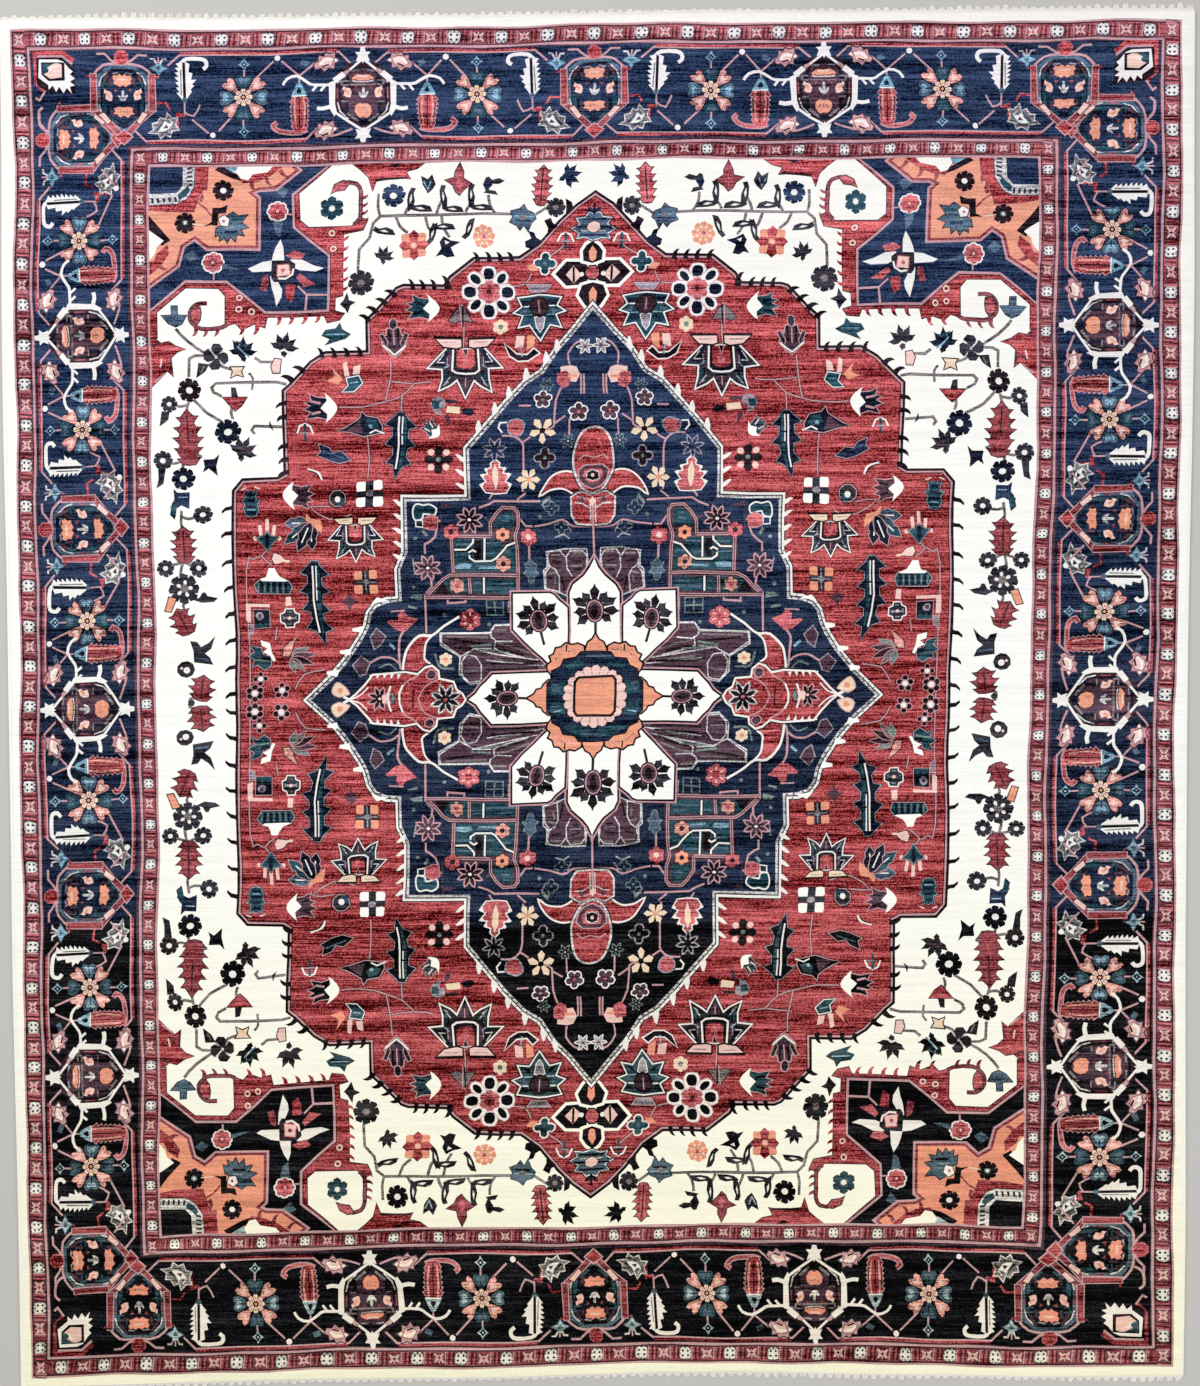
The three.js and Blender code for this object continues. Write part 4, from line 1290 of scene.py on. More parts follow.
def ivory_panels(pen):
    """The two small ivory panels with their blossoms."""
    for points in ([(237, 476), (231, 483), (230, 500), (230, 509), (234, 516), (243, 518)],
                   [(360, 379), (366, 375), (386, 374), (393, 377), (398, 383), (398, 391), (394, 397),
                    (388, 400), (380, 400)]):
        bend = smooth(points, 2)
        pen.line("plum", bend, 4.4)
        pen.line("rust", bend, 2.2)
    small_rosette(pen.at(258, 493), "teal", "slate", 1.3)
    pen.dot("white", 258, 493, 3.0, 1.0, 6)
    pen.area("rose", [(241, 518), (247, 519), (255, 515), (259, 507), (254, 510), (246, 511)],
             ("plum", 1.2))
    pen.area("rose", [(388, 396), (394, 396), (397, 390), (396, 383), (391, 379), (388, 383), (387, 390)],
             ("plum", 1.2))
    pen.area("slate", [(402, 388), (411, 388), (411, 397), (417, 397), (417, 388), (427, 388), (420, 380),
                       (413, 377), (407, 380)], ("navy", 0.8))


def peach_panel(pen):
    """The orange cross-shaped panel with its flowers and its dark and white corners."""
    pen.area("peach", [(333, 456), (333, 503), (341, 510), (331, 515), (314, 516), (293, 532), (299, 537),
                       (438, 537), (438, 420), (411, 438), (406, 458), (393, 467), (380, 456)],
             ("pink", 4.8), ("rust", 2.6))
    pen.area("madder", [(303, 537), (318, 527), (332, 521), (345, 519), (352, 527), (347, 537)],
             ("rust", 1.0))
    pen.area("ivory", [(314, 537), (320, 530), (336, 527), (341, 521), (348, 523), (353, 530), (358, 537)])
    pen.area("sky", [(350, 537), (353, 530), (360, 527), (366, 532), (362, 537)])
    pen.area("dark", [(347, 520), (356, 523), (373, 532), (368, 537), (362, 533), (350, 526)])
    pen.area("dark", [(416, 462), (430, 478), (438, 488), (438, 472), (425, 457)])
    pen.area("ivory", [(423, 462), (430, 467), (438, 472), (438, 443), (432, 449), (430, 456)])
    pen.area("madder", [(420, 456), (429, 449), (433, 441), (438, 441), (438, 429), (428, 437), (419, 449)],
             ("rust", 1.0))
    for u, v, turn in ((307, 531, 150), (322, 524, 170), (337, 519, 175), (383, 512, 20), (388, 501, 30),
                       (427, 437, 130)):
        claw(pen.at(u, v, turn), "rust", 0.75)
    ring_flower(pen.at(365, 511), 0.92, "dark", "white")
    ring_flower(pen.at(403, 479), 0.9, "dark", "sage")
    pen.dot("white", 403, 479, 1.6, 1.0, 5)
    pen.area("slate", [(341, 487), (350, 486), (355, 490), (361, 486), (362, 478), (372, 474), (373, 466),
                       (368, 468), (369, 461), (364, 464), (361, 459), (358, 465), (353, 460), (352, 467),
                       (345, 466), (348, 472), (340, 474), (347, 479)], ("charcoal", 1.0))
    pen.line("teal", [(345, 483), (357, 483)], 3.0)
    pen.line("navy", [(351, 470), (364, 470)], 2.6)
    pen.line("sage", [(354, 475), (364, 474)], 1.8)
    pen.area("dark", [(360, 497), (367, 494), (376, 494), (377, 480), (384, 476), (377, 477), (371, 476),
                      (370, 488), (362, 489)])
    pen.area("white", [(359, 483), (364, 487), (370, 483), (368, 477), (361, 476)], ("charcoal", 0.9))
    pen.dot("rose", 365, 481, 1.7, 1.0, 5)
    pen.line("rust", [(377, 486), (384, 494), (392, 499)], 1.7)
    pen.line("cream", [(384, 477), (396, 478)], 1.2)


def corner_square(pen):
    """Plain dark square in a red and white frame, in the field's very corner."""
    pen.area("madder", [(380, 537), (381, 520), (390, 505), (395, 490), (420, 491), (438, 494), (438, 537)],
             ("rust", 1.2))
    pen.area("silver", [(393, 537), (394, 515), (402, 503), (411, 498), (438, 498), (438, 509), (412, 509),
                        (405, 516), (404, 537)], ("charcoal", 0.8))
    for step in range(5):
        pen.line("charcoal", [(395.5, 517 + 4.4 * step), (401, 516 + 4.4 * step)], 2.0)
        pen.line("charcoal", [(412 + 5.6 * step, 500), (413 + 5.6 * step, 505)], 2.2)
    pen.area("teal", [(398, 512), (402, 506), (409, 502), (411, 507), (404, 513), (401, 516)])
    pen.area("navy", [(405, 537), (406, 516), (412, 509), (438, 509), (438, 537)], ("silver", 1.6))


BORDER_MIDDLE_U = 509.5
BORDER_MIDDLE_V = 605.0
SIDE_FLOWERS = [565, 369, 177, -5, -190, -373, -557]
WHITE_BLOOM = [(-7, -7), (-2, -5), (0, -9), (2, -5), (7, -7), (5, -1), (8, 3), (3, 3), (2, 8), (-2, 8),
               (-3, 3), (-8, 3), (-5, -1)]


def border_palmette(pen, ground):
    """Flower of four frilled lobes inside a border frame, larger towards the rug's edge."""
    frame, other, core = ("slate", "teal", "navy") if ground == "teal" else ("umber", "stone", "plum")
    pen.area(frame, [(-27, 22), (-27, -17), (-12, -31), (0, -36), (12, -31), (27, -17), (27, 22), (13, 33),
                     (-13, 33)])
    pen.area("night", [(-23, 20), (-23, -15), (-10, -27), (0, -31), (10, -27), (23, -15), (23, 20),
                       (11, 29), (-11, 29)])
    pen.twins(
        ("plum", [(11, 28), (19, 22), (22, 12), (18, 16), (14, 22)]),
        (ground, [(21, 6), (22, -12), (17, -17), (18, -4)]),
        ("silver", [(16, 26), (22, 20), (24.6, 12)], 1.3),
        (other, [(5, -27), (15, -19)], 2.8),
        ("silver", [(14, -25), (22, -17), (24.6, -8)], 1.3),
        (other, [(20, 9), (22, 15)], 2.4),
        ("rust", [(24.6, -4), (24.6, 7)], 1.4),
    )
    pen.both(core, [(0, 27), (12, 26), (14, 12), (22, 5), (20, -3), (14, -8), (14, -19), (0, -25)])
    if ground == "teal":
        upper = [(0, 22), (3, 24), (6, 22), (9, 23), (10.5, 19.5), (8.5, 17), (9.5, 14), (6, 13), (3, 11),
                 (0, 13)]
        lower = [(0, -11), (5, -10), (10, -11), (9, -14.5), (11, -17), (7, -17.5), (4, -20.5), (0, -18.5)]
    else:
        upper = [(0, 20), (6, 20.6), (10.6, 17.4), (13, 14.6), (8, 15.4), (5, 14), (0, 14.4)]
        lower = [(0, -10), (4, -9.4), (7.4, -12), (8.4, -17), (6, -21.6), (3, -23.4), (0, -22)]
        pen.line("silver", [(-13, 14), (-5, 13), (5, 13), (13, 14)], 1.4)
        pen.line("stone", [(-13, 9.6), (13, 9.6)], 1.8)
    pen.both("peach", upper, ("plum", 0.8))
    pen.both("peach", lower, ("plum", 0.8))
    pen.line("blush", [(-5, 18.6), (5, 18.6)], 2.0)
    for shift in (-3.4, 0, 3.4):
        pen.line("salmon", [(shift, -12.4), (shift, -17)], 1.3)
    pen.twins(
        ("grey", [(4, 25), (11, 24)], 1.4),
        ("plum", [(13, 20), (12, 12)], 2.6),
        ("plum", [(13, -13), (11, -20)], 2.6),
        *[(other, [(14.6, v), (21, v)], 1.5) for v in (9.6, 14, -7)],
    )
    edge = [(11, 2), (13, 6), (17, 7), (19, 9), (20, 5), (17.5, 3), (19, -1), (15, -3), (12, -3)]
    pen.twins(
        ("blush", edge, ("plum", 0.7)),
        ("peach", [(14, 1), (18, 5.4)], 2.2),
        ("rust", [(5, 8), (9, 9), (8, 5)]),
    )
    pen.both("silver", [(0, 7.6), (1.2, 6.8), (1.5, 0.6), (4.8, 2.8), (5, 0.8), (2.6, -3.4), (0, -4.2)])


def red_unit(pen):
    """Palmette in an eight-sided frame with red bars at its sides."""
    border_palmette(pen, "teal")
    pen.twins(
        ("pink", smooth([(29, 24), (20, 32), (8, 34), (0, 33)], 2), 2.4),
        ("pink", [(30, -12), (18, -22), (4, -36)], 6.8),
        ("rust", [(30, -12), (18, -22), (4, -36)], 4.8),
        ("pink", [(26.5, 24), (33.5, 24), (34, -14), (26, -14)]),
        ("rust", [(27.6, 23.2), (32.6, 23.2), (33, -13.2), (27, -13.2)]),
        ("madder", [(30.2, 20), (30.2, -10)], 1.6),
        ("madder", [(32, 21), (37, 21)], 2.0),
        ("blush", [(20, -15), (25, -17), (16, -27), (13, -24)], ("plum", 0.9)),
        ("pink", [(5, 35), (10, 37), (17, 43), (26, 43)], 2.2),
    )
    pen.dot("madder", 0, 40, 6.5, 1.0, 8, ("rose", 1.2))
    pen.area("madder", [(-8, -39), (0, -33), (8, -39), (0, -46)], ("pink", 1.4))


def white_unit(pen):
    """Palmette in a six-sided white frame with a small bloom at each point."""
    border_palmette(pen, "umber")
    pen.twins(
        ("white", [(29, 12), (14, 25), (0, 37)], 2.4),
        ("pink", [(24, 18), (13, 26)], 3.2),
        ("white", [(28, 15), (19, 22)], 6.0),
        ("white", [(28, -17), (14, -27), (0, -36)], 2.4),
        ("white", [(27, 16), (33, 13), (32, -14), (27, -22), (25, -17), (27, -10)]),
        ("white", smooth([(30, -12), (38, -14), (44, -13)], 2), 4.0),
    )
    pen.at(0, 41).area("white", WHITE_BLOOM)
    pen.at(0, -41, 180).area("white", WHITE_BLOOM)


def eight_petals(pen):
    """Round border flower of blue and peach petals about a dark heart with bright strokes."""
    for turn in range(45, 360, 90):
        own = pen.at(0, 0, turn)
        own.both("salmon", [(0, 8.6), (2, 10), (4.6, 15), (6.4, 20), (5.4, 24.4), (2.4, 24.2), (0, 21.4)],
                 ("umber", 0.7))
        own.both("blush", [(0, 13), (2.2, 15.6), (3.8, 20), (0, 18.6)])
    for number, turn in enumerate(range(0, 360, 90)):
        own = pen.at(0, 0, turn)
        half = [(0, 9), (2.6, 10.4), (6.6, 14.6), (8, 19.4), (6.6, 23), (3, 23.6), (0, 21.6)]
        own.both("slate" if number % 2 else "teal", half, ("night", 0.8))
        own.both("sky" if number % 2 else "slate", [(0, 14), (3.4, 15.6), (5.2, 19.4), (3, 21), (0, 19.4)])
        own.line("navy", [(0, 10), (0, 17)], 1.1)
    pen.dot("dark", 0, 0, 9.4)
    for number, turn in enumerate(range(0, 360, 45)):
        own = pen.at(0, 0, turn)
        own.both("blush" if number % 2 else "cream",
                 [(0, 2.6), (1.2, 3.4), (2.4, 7.4), (1.2, 9.2), (0, 8.6)])
        own.line("rose", [(0, 4.2), (0, 6.8)], 0.9)
    pen.dot("peach", 0, 0, 1.5, 1.0, 6)


def hooked_leaf(pen, length=36.0):
    """White leaf with teeth on one side, a dark midrib and a hooked tip."""
    outer = [(-1.4, -3), (-3.4, 0)]
    for tooth in range(7):
        b = 2 + tooth * length / 7.4
        outer += [(-9.5 + 1.5 * abs(tooth - 3) / 3, b + 3.4), (-5, b + 4.2)]
    outer.append((-1.4, length + 2))
    pen.area("white", outer)
    inner = [(1.4, -2), (4.6, 3), (7.6, 6.6), (6.4, 8.6), (10.4, 12.4), (8.4, 14), (12.6, 18.6),
             (7.4, 18.6), (8.8, 25), (4.8, 26)]
    pen.area("white", inner + [(6, length - 2), (1.4, length)])
    pen.line("dark", [(0, -1), (0, length - 2)], 2.6)
    pen.line("sage", [(-3.4, 3), (-3, length - 8)], 1.2)
    pen.line("white", smooth([(-1, length), (3, length + 3), (18, length + 3.4), (23, length + 1),
                              (23.6, length - 4), (20, length - 7)], 2), 3.8)
    pen.line("pink", [(0, -4), (0, -18)], 1.6)
    pen.dot("slate", 0, -2, 3, 1.0, 6)


def cypress(pen):
    """Red tree in upright stripes with short teeth, a light blue cap and a curled foot."""
    foot = smooth([(7, -34), (0, -37), (-16, -36), (-23, -33), (-26, -28), (-22, -25)], 2)
    pen.line("pink", foot, 5.2)
    pen.line("rose", foot, 3.0)
    half = [(0, 2), (5, 2)]
    for tooth in range(6):
        v = -1.5 - tooth * 5
        half += [(7 - 0.2 * tooth, v), (9.8 - 0.4 * tooth, v - 3.6)]
    half += [(6, -33), (5, -36), (0, -37)]
    pen.both("madder", half, ("pink", 0.7))
    pen.twins(
        ("salmon", [(4.4, 0), (5.4, -14), (3.8, -32)], 1.9),
        ("rust", [(2.2, 0), (2.2, -30)], 1.4),
        ("umber", [(7.4, -8), (6.6, -24)], 1.0),
    )
    pen.line("dark", [(0, 1), (0, -34)], 1.2)
    pen.both("sky", [(0, 14), (2.6, 12), (6, 5), (8.4, 0), (4, 1), (0, 1.6)], ("navy", 0.7))
    pen.line("white", [(-7, 0.6), (7, 0.6)], 1.2)
    pen.both("night", [(0, 9.6), (2.6, 5.4), (2, 3.2), (0, 3)])
    pen.line("pink", [(0, 14), (0, 21)], 1.6)


def diamond_bud(pen):
    """Small light diamond with a dark middle."""
    pen.area("sky", [(-6, 0), (-2.4, 2.4), (0, 6.5), (2.4, 2.4), (6, 0), (2.4, -2.4), (0, -6.5),
                     (-2.4, -2.4)])
    pen.area("navy", [(-3.2, 0), (0, 3.6), (3.2, 0), (0, -3.6)])
    pen.dot("silver", 0, 0, 1.1, 1.0, 4)


def star_bell(pen):
    """Light blue flower with three prongs."""
    pen.area("sky", [(-8.6, 0), (-3, 2.6), (-1.4, 5.6), (1.4, 5.6), (3, 2.6), (8.6, 0), (2.6, -3),
                     (0, -7.6), (-2.6, -3)], ("slate", 0.8))
    pen.twins(("silver", [(1.8, 4), (4, 9), (8, 9.5)], 1.8))
    pen.line("pink", [(0, 5), (0, 11)], 1.5)
    pen.area("slate", [(-3, 0.6), (0, 2), (3, 0.6), (0, -3)])


def open_bloom(pen):
    """Grey green blossom with a thin pale outline and a white heart."""
    edge = [(-16, -6), (-10, -3), (-11, 3), (-6, 4), (-3, 9), (2, 7), (4, 13), (8, 8), (13, 8), (11, 2),
            (14, -3), (8, -4), (6, -10), (1, -8), (-4, -12), (-6, -7)]
    pen.area("stone", edge, ("silver", 1.2))
    pen.area("navy", [(-9, -3), (-3, 2), (-1, 7), (3, 5), (9, 5), (7, -2), (3, -7), (-3, -7)])
    pen.area("white", [(-6, -5), (-1, 1), (1, 6), (4, 3), (9, 3), (5, -3), (0, -5)], ("sage", 1.2))
    pen.area("plum", [(-1, -2), (3, 2), (5, -2)])
    pen.line("silver", [(5, 8), (9, 3)], 1.2)


def pink_bloom(pen):
    """Frilled pink blossom with a white crescent."""
    edge = [(-11, -3), (-7, 1), (-7, 6), (-2, 5), (0, 9), (4, 7), (9, 9), (9, 4), (13, 1), (8, -2), (8, -7),
            (3, -6), (-1, -10), (-4, -6), (-9, -7)]
    pen.area("pink", edge, ("plum", 1.1))
    pen.area("blush", [(-7, -2), (-3, 4), (2, 5), (8, 3), (5, -4), (-1, -6)], ("rust", 0.8))
    pen.line("white", [(-6, -3), (-1, 2), (7, 2)], 2.2)
    pen.line("umber", [(-3, -5), (3, -3)], 1.8)
    pen.dot("white", 10, 1, 1.6, 1.0, 5)


def border_run(pen, white):
    """Everything between one red framed flower and the white one at a distance from it."""
    leaf = min(0.32 * white, 62)
    rosette = 0.51 * white
    tree = white - min(0.31 * white, 62)
    foot = white - 56
    for b, start, end in ((-43.5, 22, foot), (43.5, 58, white - 24)):
        turn = 1 if b > 0 else -1
        pen.line("pink", [(start - 12, b - 11 * turn), (start, b), (end, b), (end + 12, b - 11 * turn)],
                 2.0)
        pen.line("madder", [(start + 1, b + 1.8 * turn), (end - 1, b + 1.8 * turn)], 2.4)
    hooked_leaf(pen.at(leaf, 0))
    star_bell(pen.at(37, 30))
    pen.line("madder", [(32, -6), (44, -5), (48, -12)], 2.2)
    pen.line("madder", [(leaf, -18), (leaf - 7, -16), (leaf - 8, -30)], 3.4)
    pen.line("pink", smooth([(leaf, -14), (leaf + 9, -18), (leaf + 15, -6)], 2), 1.8)
    open_bloom(pen.at(41, -29))
    knot = rosette - 32 if rosette - leaf > 40 else leaf - 12
    pen.line("pink", [(knot - 20, -22), (knot - 4, -36)], 1.9)
    pen.dot("white", knot, -38, 3.0, 1.0, 6)
    pen.line("pink", [(knot + 6, -34), (rosette - 9, -17)], 1.9)
    eight_petals(pen.at(rosette, 0))
    for side in (1, -1):
        diamond_bud(pen.at(rosette, 34 * side))
        pen.line("pink", [(rosette, 22 * side), (rosette, 28 * side)], 1.8)
    top = rosette + 22 + (tree - rosette - 33) / 2
    pen.line("pink", [(rosette + 10, 18), (top - 4, 36)], 1.9)
    pen.dot("white", top, 39, 3.2, 1.0, 6)
    pen.line("pink", [(top + 4, 36), (tree, 20)], 1.9)
    pen.line("pink", [(tree, 20), (tree + 15, 33)], 1.8)
    cypress(pen.at(tree, 0))
    pen.line("white", smooth([(tree - 16, 11), (tree - 12, 17), (tree - 2, 20), (tree + 8, 14),
                              (tree + 14, 11), (white - 30, 11)], 2), 2.7)
    for shift in (0, 8):
        pen.line("white", [(tree + 18 + shift, 11), (tree + 13 + shift, 5)], 2.4)
    for b in (34, -35):
        pink_bloom(pen.at(white - 37, b))
    pen.line("slate", [(tree + 2, 34), (tree + 9, 31)], 5.0)
    pen.line("pink", smooth([(white - 10, -34), (white - 26, -40), (white - 34, -40)], 2), 2.0)


def corner_palmette(pen):
    """White serrated flower that fills the border's corner, with its framing lines."""
    pen.line("madder", [(514, 641), (525, 650), (553, 650), (553, 621), (545, 612)], 5.5)
    pen.line("pink", [(515, 638), (525, 647), (550, 647), (550, 622), (543, 615)], 2.2)
    pen.area("dark", [(514, 634), (526, 645), (552, 646), (553, 618), (541, 611), (512, 609)])
    edge = [(549, 644), (551, 626), (541, 618)]
    edge += [(541, 613), (536, 617), (533, 611), (529, 616), (525, 610), (521, 615), (516, 609), (518, 616)]
    edge += [(513, 617), (518, 621), (513, 624), (518, 628), (515, 631), (519, 634), (524, 641), (530, 644)]
    pen.area("white", edge)
    pen.area("dark", [(523, 640), (523, 622), (540, 622), (547, 629), (547, 641), (530, 641)])
    pen.area("blush", [(526, 638), (526, 625), (538, 624), (545, 630), (545, 639), (530, 640)])
    pen.area("teal", [(534, 640), (546, 640), (546, 629), (538, 632), (541, 636)])
    pen.area("white", [(529, 637), (536, 635), (541, 629), (538, 636)])
    pen.line("pink", [(545, 612), (551, 603), (555, 606)], 2.2)
    pen.line("pink", smooth([(548, 596), (553, 592), (552, 580), (545, 574), (541, 575)], 2), 2.4)


def border(rug):
    """Navy main border with its framed flowers, leaves and corner pieces."""
    for corner in pens(EVERYWHERE):
        corner_palmette(corner)
        top = corner.at(0, BORDER_MIDDLE_V)
        border_run(top, 226)
        border_run(top.at(464, 0, 0, 1, -1), 238)
    for side in pens(SIDEWAYS):
        middle = side.at(BORDER_MIDDLE_U, 0, -90)
        for number in range(0, len(SIDE_FLOWERS), 2):
            red = SIDE_FLOWERS[number]
            if number:
                border_run(middle.at(-red, 0, 0, 1, -1), SIDE_FLOWERS[number - 1] - red)
            if number < len(SIDE_FLOWERS) - 1:
                border_run(middle.at(-red, 0), red - SIDE_FLOWERS[number + 1])
        for number, place in enumerate(SIDE_FLOWERS):
            unit = white_unit if number % 2 else red_unit
            unit(middle.at(-place, 0))
    for end in pens(UP_AND_DOWN):
        middle = end.at(0, BORDER_MIDDLE_V)
        for place, unit in ((-464, red_unit), (-226, white_unit), (0, red_unit), (226, white_unit),
                            (464, red_unit)):
            unit(middle.at(place, 0))


GUARD_LENGTH_OVER_WIDTH = 97


def guard_rosette(pen, size):
    """White flower of four round cells with dark middles."""
    own = pen.at(0, 0, 0, size)
    own.area("silver", [(-6.2, 1), (-5.2, 5.2), (-1, 6.4), (0, 4.6), (1, 6.4), (5.2, 5.2), (6.2, 1),
                        (5.2, -4.4), (2, -6.4), (0, -4.6), (-2, -6.4), (-5.2, -4.4)], ("umber", 0.9))
    own.area("white", [(-5, 1), (-4, 4.4), (0, 3.4), (4, 4.4), (5, 1), (4, -3.6), (0, -3.4), (-4, -3.6)])
    for u, v in ((-2.8, 2.2), (2.8, 2.2), (-2.6, -2.4), (2.6, -2.4)):
        own.dot("umber", u, v, 1.5, 1.0, 4)


def guard_cross(pen, size):
    """Pink flower of two crossed leaves."""
    own = pen.at(0, 0, 0, size)
    edge = [(-6, -5), (-4, 0), (-6, 5), (-1.4, 2.6), (0, 6), (1.6, 2.6), (6, 5), (4, 0), (6, -5),
            (1.4, -2.4), (0, -4), (-1.4, -2.4)]
    own.area("pink", edge, ("plum", 0.7))
    own.twins(("blush", [(4.4, 4), (-4.4, -4)], 1.3))
    own.area("madder", [(-1.8, 0), (0, 2), (1.8, 0), (0, -2)])


def guard(rug, half_width, half_length, pitch_across, pitch_along, size):
    """One narrow red border: flowers along its middle line with thin bars between."""
    for turn, along, away, pitch in (
        (0, half_width, half_length, pitch_across), (180, half_width, half_length, pitch_across),
        (90, half_length, half_width, pitch_along), (270, half_length, half_width, pitch_along),
    ):
        own = rug.at(0, 0, turn)
        count = int(round(2 * along / pitch / 2)) * 2
        step = 2 * along / count
        spare = 1 if turn % 180 == 0 else 0
        for number in range(spare, count + 1 - spare):
            place = own.at(-along + step * number, away)
            if number % 2:
                guard_rosette(place, size)
            else:
                guard_cross(place, size)
            for shift, dye in ((-0.5, "umber"), (-0.4, "rose"), (-0.32, "pink"), (0.32, "umber"),
                               (0.4, "rose")):
                place.line(dye, [(step * shift, -6.2 * size), (step * shift + 0.8, 6 * size)], 1.1)


def mitred_frame(rug, dye, outer, inner):
    """A frame about the middle between two half-sizes, as four mitred strips."""
    (u1, v1), (u0, v0) = outer, inner
    for side in (1, -1):
        rug.area(dye, [(side * u1, -v1), (side * u1, v1), (side * u0, v0), (side * u0, -v0)])
        rug.area(dye, [(-u1, side * v1), (u1, side * v1), (u0, side * v0), (-u0, side * v0)])


def outer_guard(rug):
    """Outer narrow border and the navy ground of the main border, from the outside in."""
    for dye, u, v in (("pink", 579.5, 674), ("umber", 577.6, 672), ("rust", 576.2, 670.6),
                      ("plum", 563, 657), ("pink", 561.5, 655.5), ("plum", 559, 653.2),
                      ("navy", 557.8, 652)):
        rug.area(dye, [(-u, -v), (u, -v), (u, v), (-u, v)])
    guard(rug, 569.5, 663.5, 22.8, 20.0, 1.0)


def inner_guard(rug):
    """Inner narrow border, over the field's own edge."""
    for dye, outer, inner in (("plum", 460, 457.2), ("pink", 457.2, 454.6), ("plum", 454.6, 453.3),
                              ("rust", 453.3, 441.5), ("plum", 441.5, 440.3), ("pink", 440.3, 438)):
        mitred_frame(rug, dye, (outer, outer + GUARD_LENGTH_OVER_WIDTH),
                     (inner, inner + GUARD_LENGTH_OVER_WIDTH))
    guard(rug, 447.5, 544.6, 22.8, 20.0, 0.82)


def chart(rug):
    """The whole pattern, from its lowest areas to its topmost."""
    outer_guard(rug)
    field_edge(rug)
    for quarter in pens(EVERYWHERE):
        ivory_flowers(quarter)
        spandrel(quarter)
        field_hooks(quarter)
        field_flowers(quarter)
    for half in pens(UP_AND_DOWN):
        finial(half)
    medallion(rug)
    border(rug)
    inner_guard(rug)


chart(Pen())


# The rug's own shape, in millimetres from the middle of its pattern, as in the solid
KNOT = 2.07
RUG_THICKNESS = 8.0
END_STEPS = 60
SIDE_STEPS = 68
PILE_INSET = 2.5
PILE_LAYERS = [(0.75, 7.25), (0.0, 5.5), (0.0, 1.6)]
UNDERSIDE_INSET = 0.8
SIDE_PLACES = [-1420, -1105, -820, -540, -260, 25, 300, 580, 860, 1120, 1420]
LEFT_EDGE = [-1215, -1215, -1217, -1219, -1218, -1218, -1218, -1220, -1219, -1215, -1214]
RIGHT_EDGE = [1226, 1228, 1226, 1224, 1224, 1224, 1226, 1230, 1232, 1230, 1229]
END_PLACES = [-1220, -950, -700, -450, -200, 0, 190, 370, 560, 750, 950, 1230]
BOTTOM_EDGE = [-1431, -1424, -1417, -1414, -1412, -1406, -1402, -1403, -1407, -1410, -1414, -1414]
TOP_EDGE = [1407, 1406, 1405, 1407, 1408, 1411, 1415, 1414, 1413, 1414, 1415, 1414]

# Wander of the knotted lines in knots, and the height of the pile's soft swells in millimetres
SLOW_WANDER = 0.9
WANDER = 0.5
QUICK_WANDER = 0.3
BROAD_SWELL = 0.22
LONG_SWELL = 0.16
SMALL_SWELL = 0.07
SWELLS_BELOW = 0.2

# How far five lines of the pattern drift sideways at places along the rug, and lengthways at places across it
LINES_ACROSS = [-577, -438, 0, 438, 577]
DRIFT_PLACES_ALONG = [-1390, -1105, -820, -540, -260, 20, 290, 570, 860, 1130, 1390]
DRIFT_SIDEWAYS = [
    [6, 6.5, 2.5, 5, 3, 5.5, 7.5, 6, 6, 10.5, 7],
    [-6, -8, -8.5, -7, -2.5, -3, -4.5, -7, -6, -5, -5],
    [-6, -12, -15, -13, -9, -2.5, -3, -3.5, -2, 1, 4],
    [-20, -20, -19, -15.5, -13, -11, -4, 1, 3, 3.5, 3],
    [3, 2.5, 2.5, 2.5, -0.5, -1.5, 4, 5, 5, 5, 4],
]
LINES_ALONG = [-671.5, -537, 0, 537, 671.5]
DRIFT_PLACES_ACROSS = [-1190, -950, -760, -550, -300, 0, 250, 500, 750, 950, 1190]
DRIFT_LENGTHWAYS = [
    [-16, -9.5, -4, 0, 2, 8.5, 13, 8.5, 5, 1, 0],
    [-8, -3, 2, 10, 13, 16.5, 19.5, 21, 16, 10, 8],
    [2, 5, 8, 11, 13.5, 16.5, 17, 17.5, 17.5, 16.5, 14.5],
    [-6, -4, -1.5, 1, 4, 8, 9, 9, 9, 9, 5],
    [-8, -9, -10, -9, -7, -3, 0, -2, -1, 0, -0.5],
]


def curve(places, rows, at):
    """Smooth curve through values at places, read at many points. Each row may hold one value a point."""
    places = np.array(places, float)
    rows = np.array(rows, float)
    if rows.ndim == 1:
        rows = np.repeat(rows[:, None], len(at), axis=1)
    last = len(places) - 1
    before = np.maximum(np.arange(last + 1) - 1, 0)
    after = np.minimum(np.arange(last + 1) + 1, last)
    slopes = (rows[after] - rows[before]) / (places[after] - places[before])[:, None]
    index = np.clip(np.searchsorted(places, at, side="right") - 1, 0, last - 1)
    span = places[index + 1] - places[index]
    t = (at - places[index]) / span
    point = np.arange(len(at))
    from_value = rows[index, point]
    to_value = rows[index + 1, point]
    from_slope = slopes[index, point]
    to_slope = slopes[index + 1, point]
    return ((2 * t ** 3 - 3 * t ** 2 + 1) * from_value + (t ** 3 - 2 * t ** 2 + t) * span * from_slope
            + (3 * t ** 2 - 2 * t ** 3) * to_value + (t ** 3 - t ** 2) * span * to_slope)


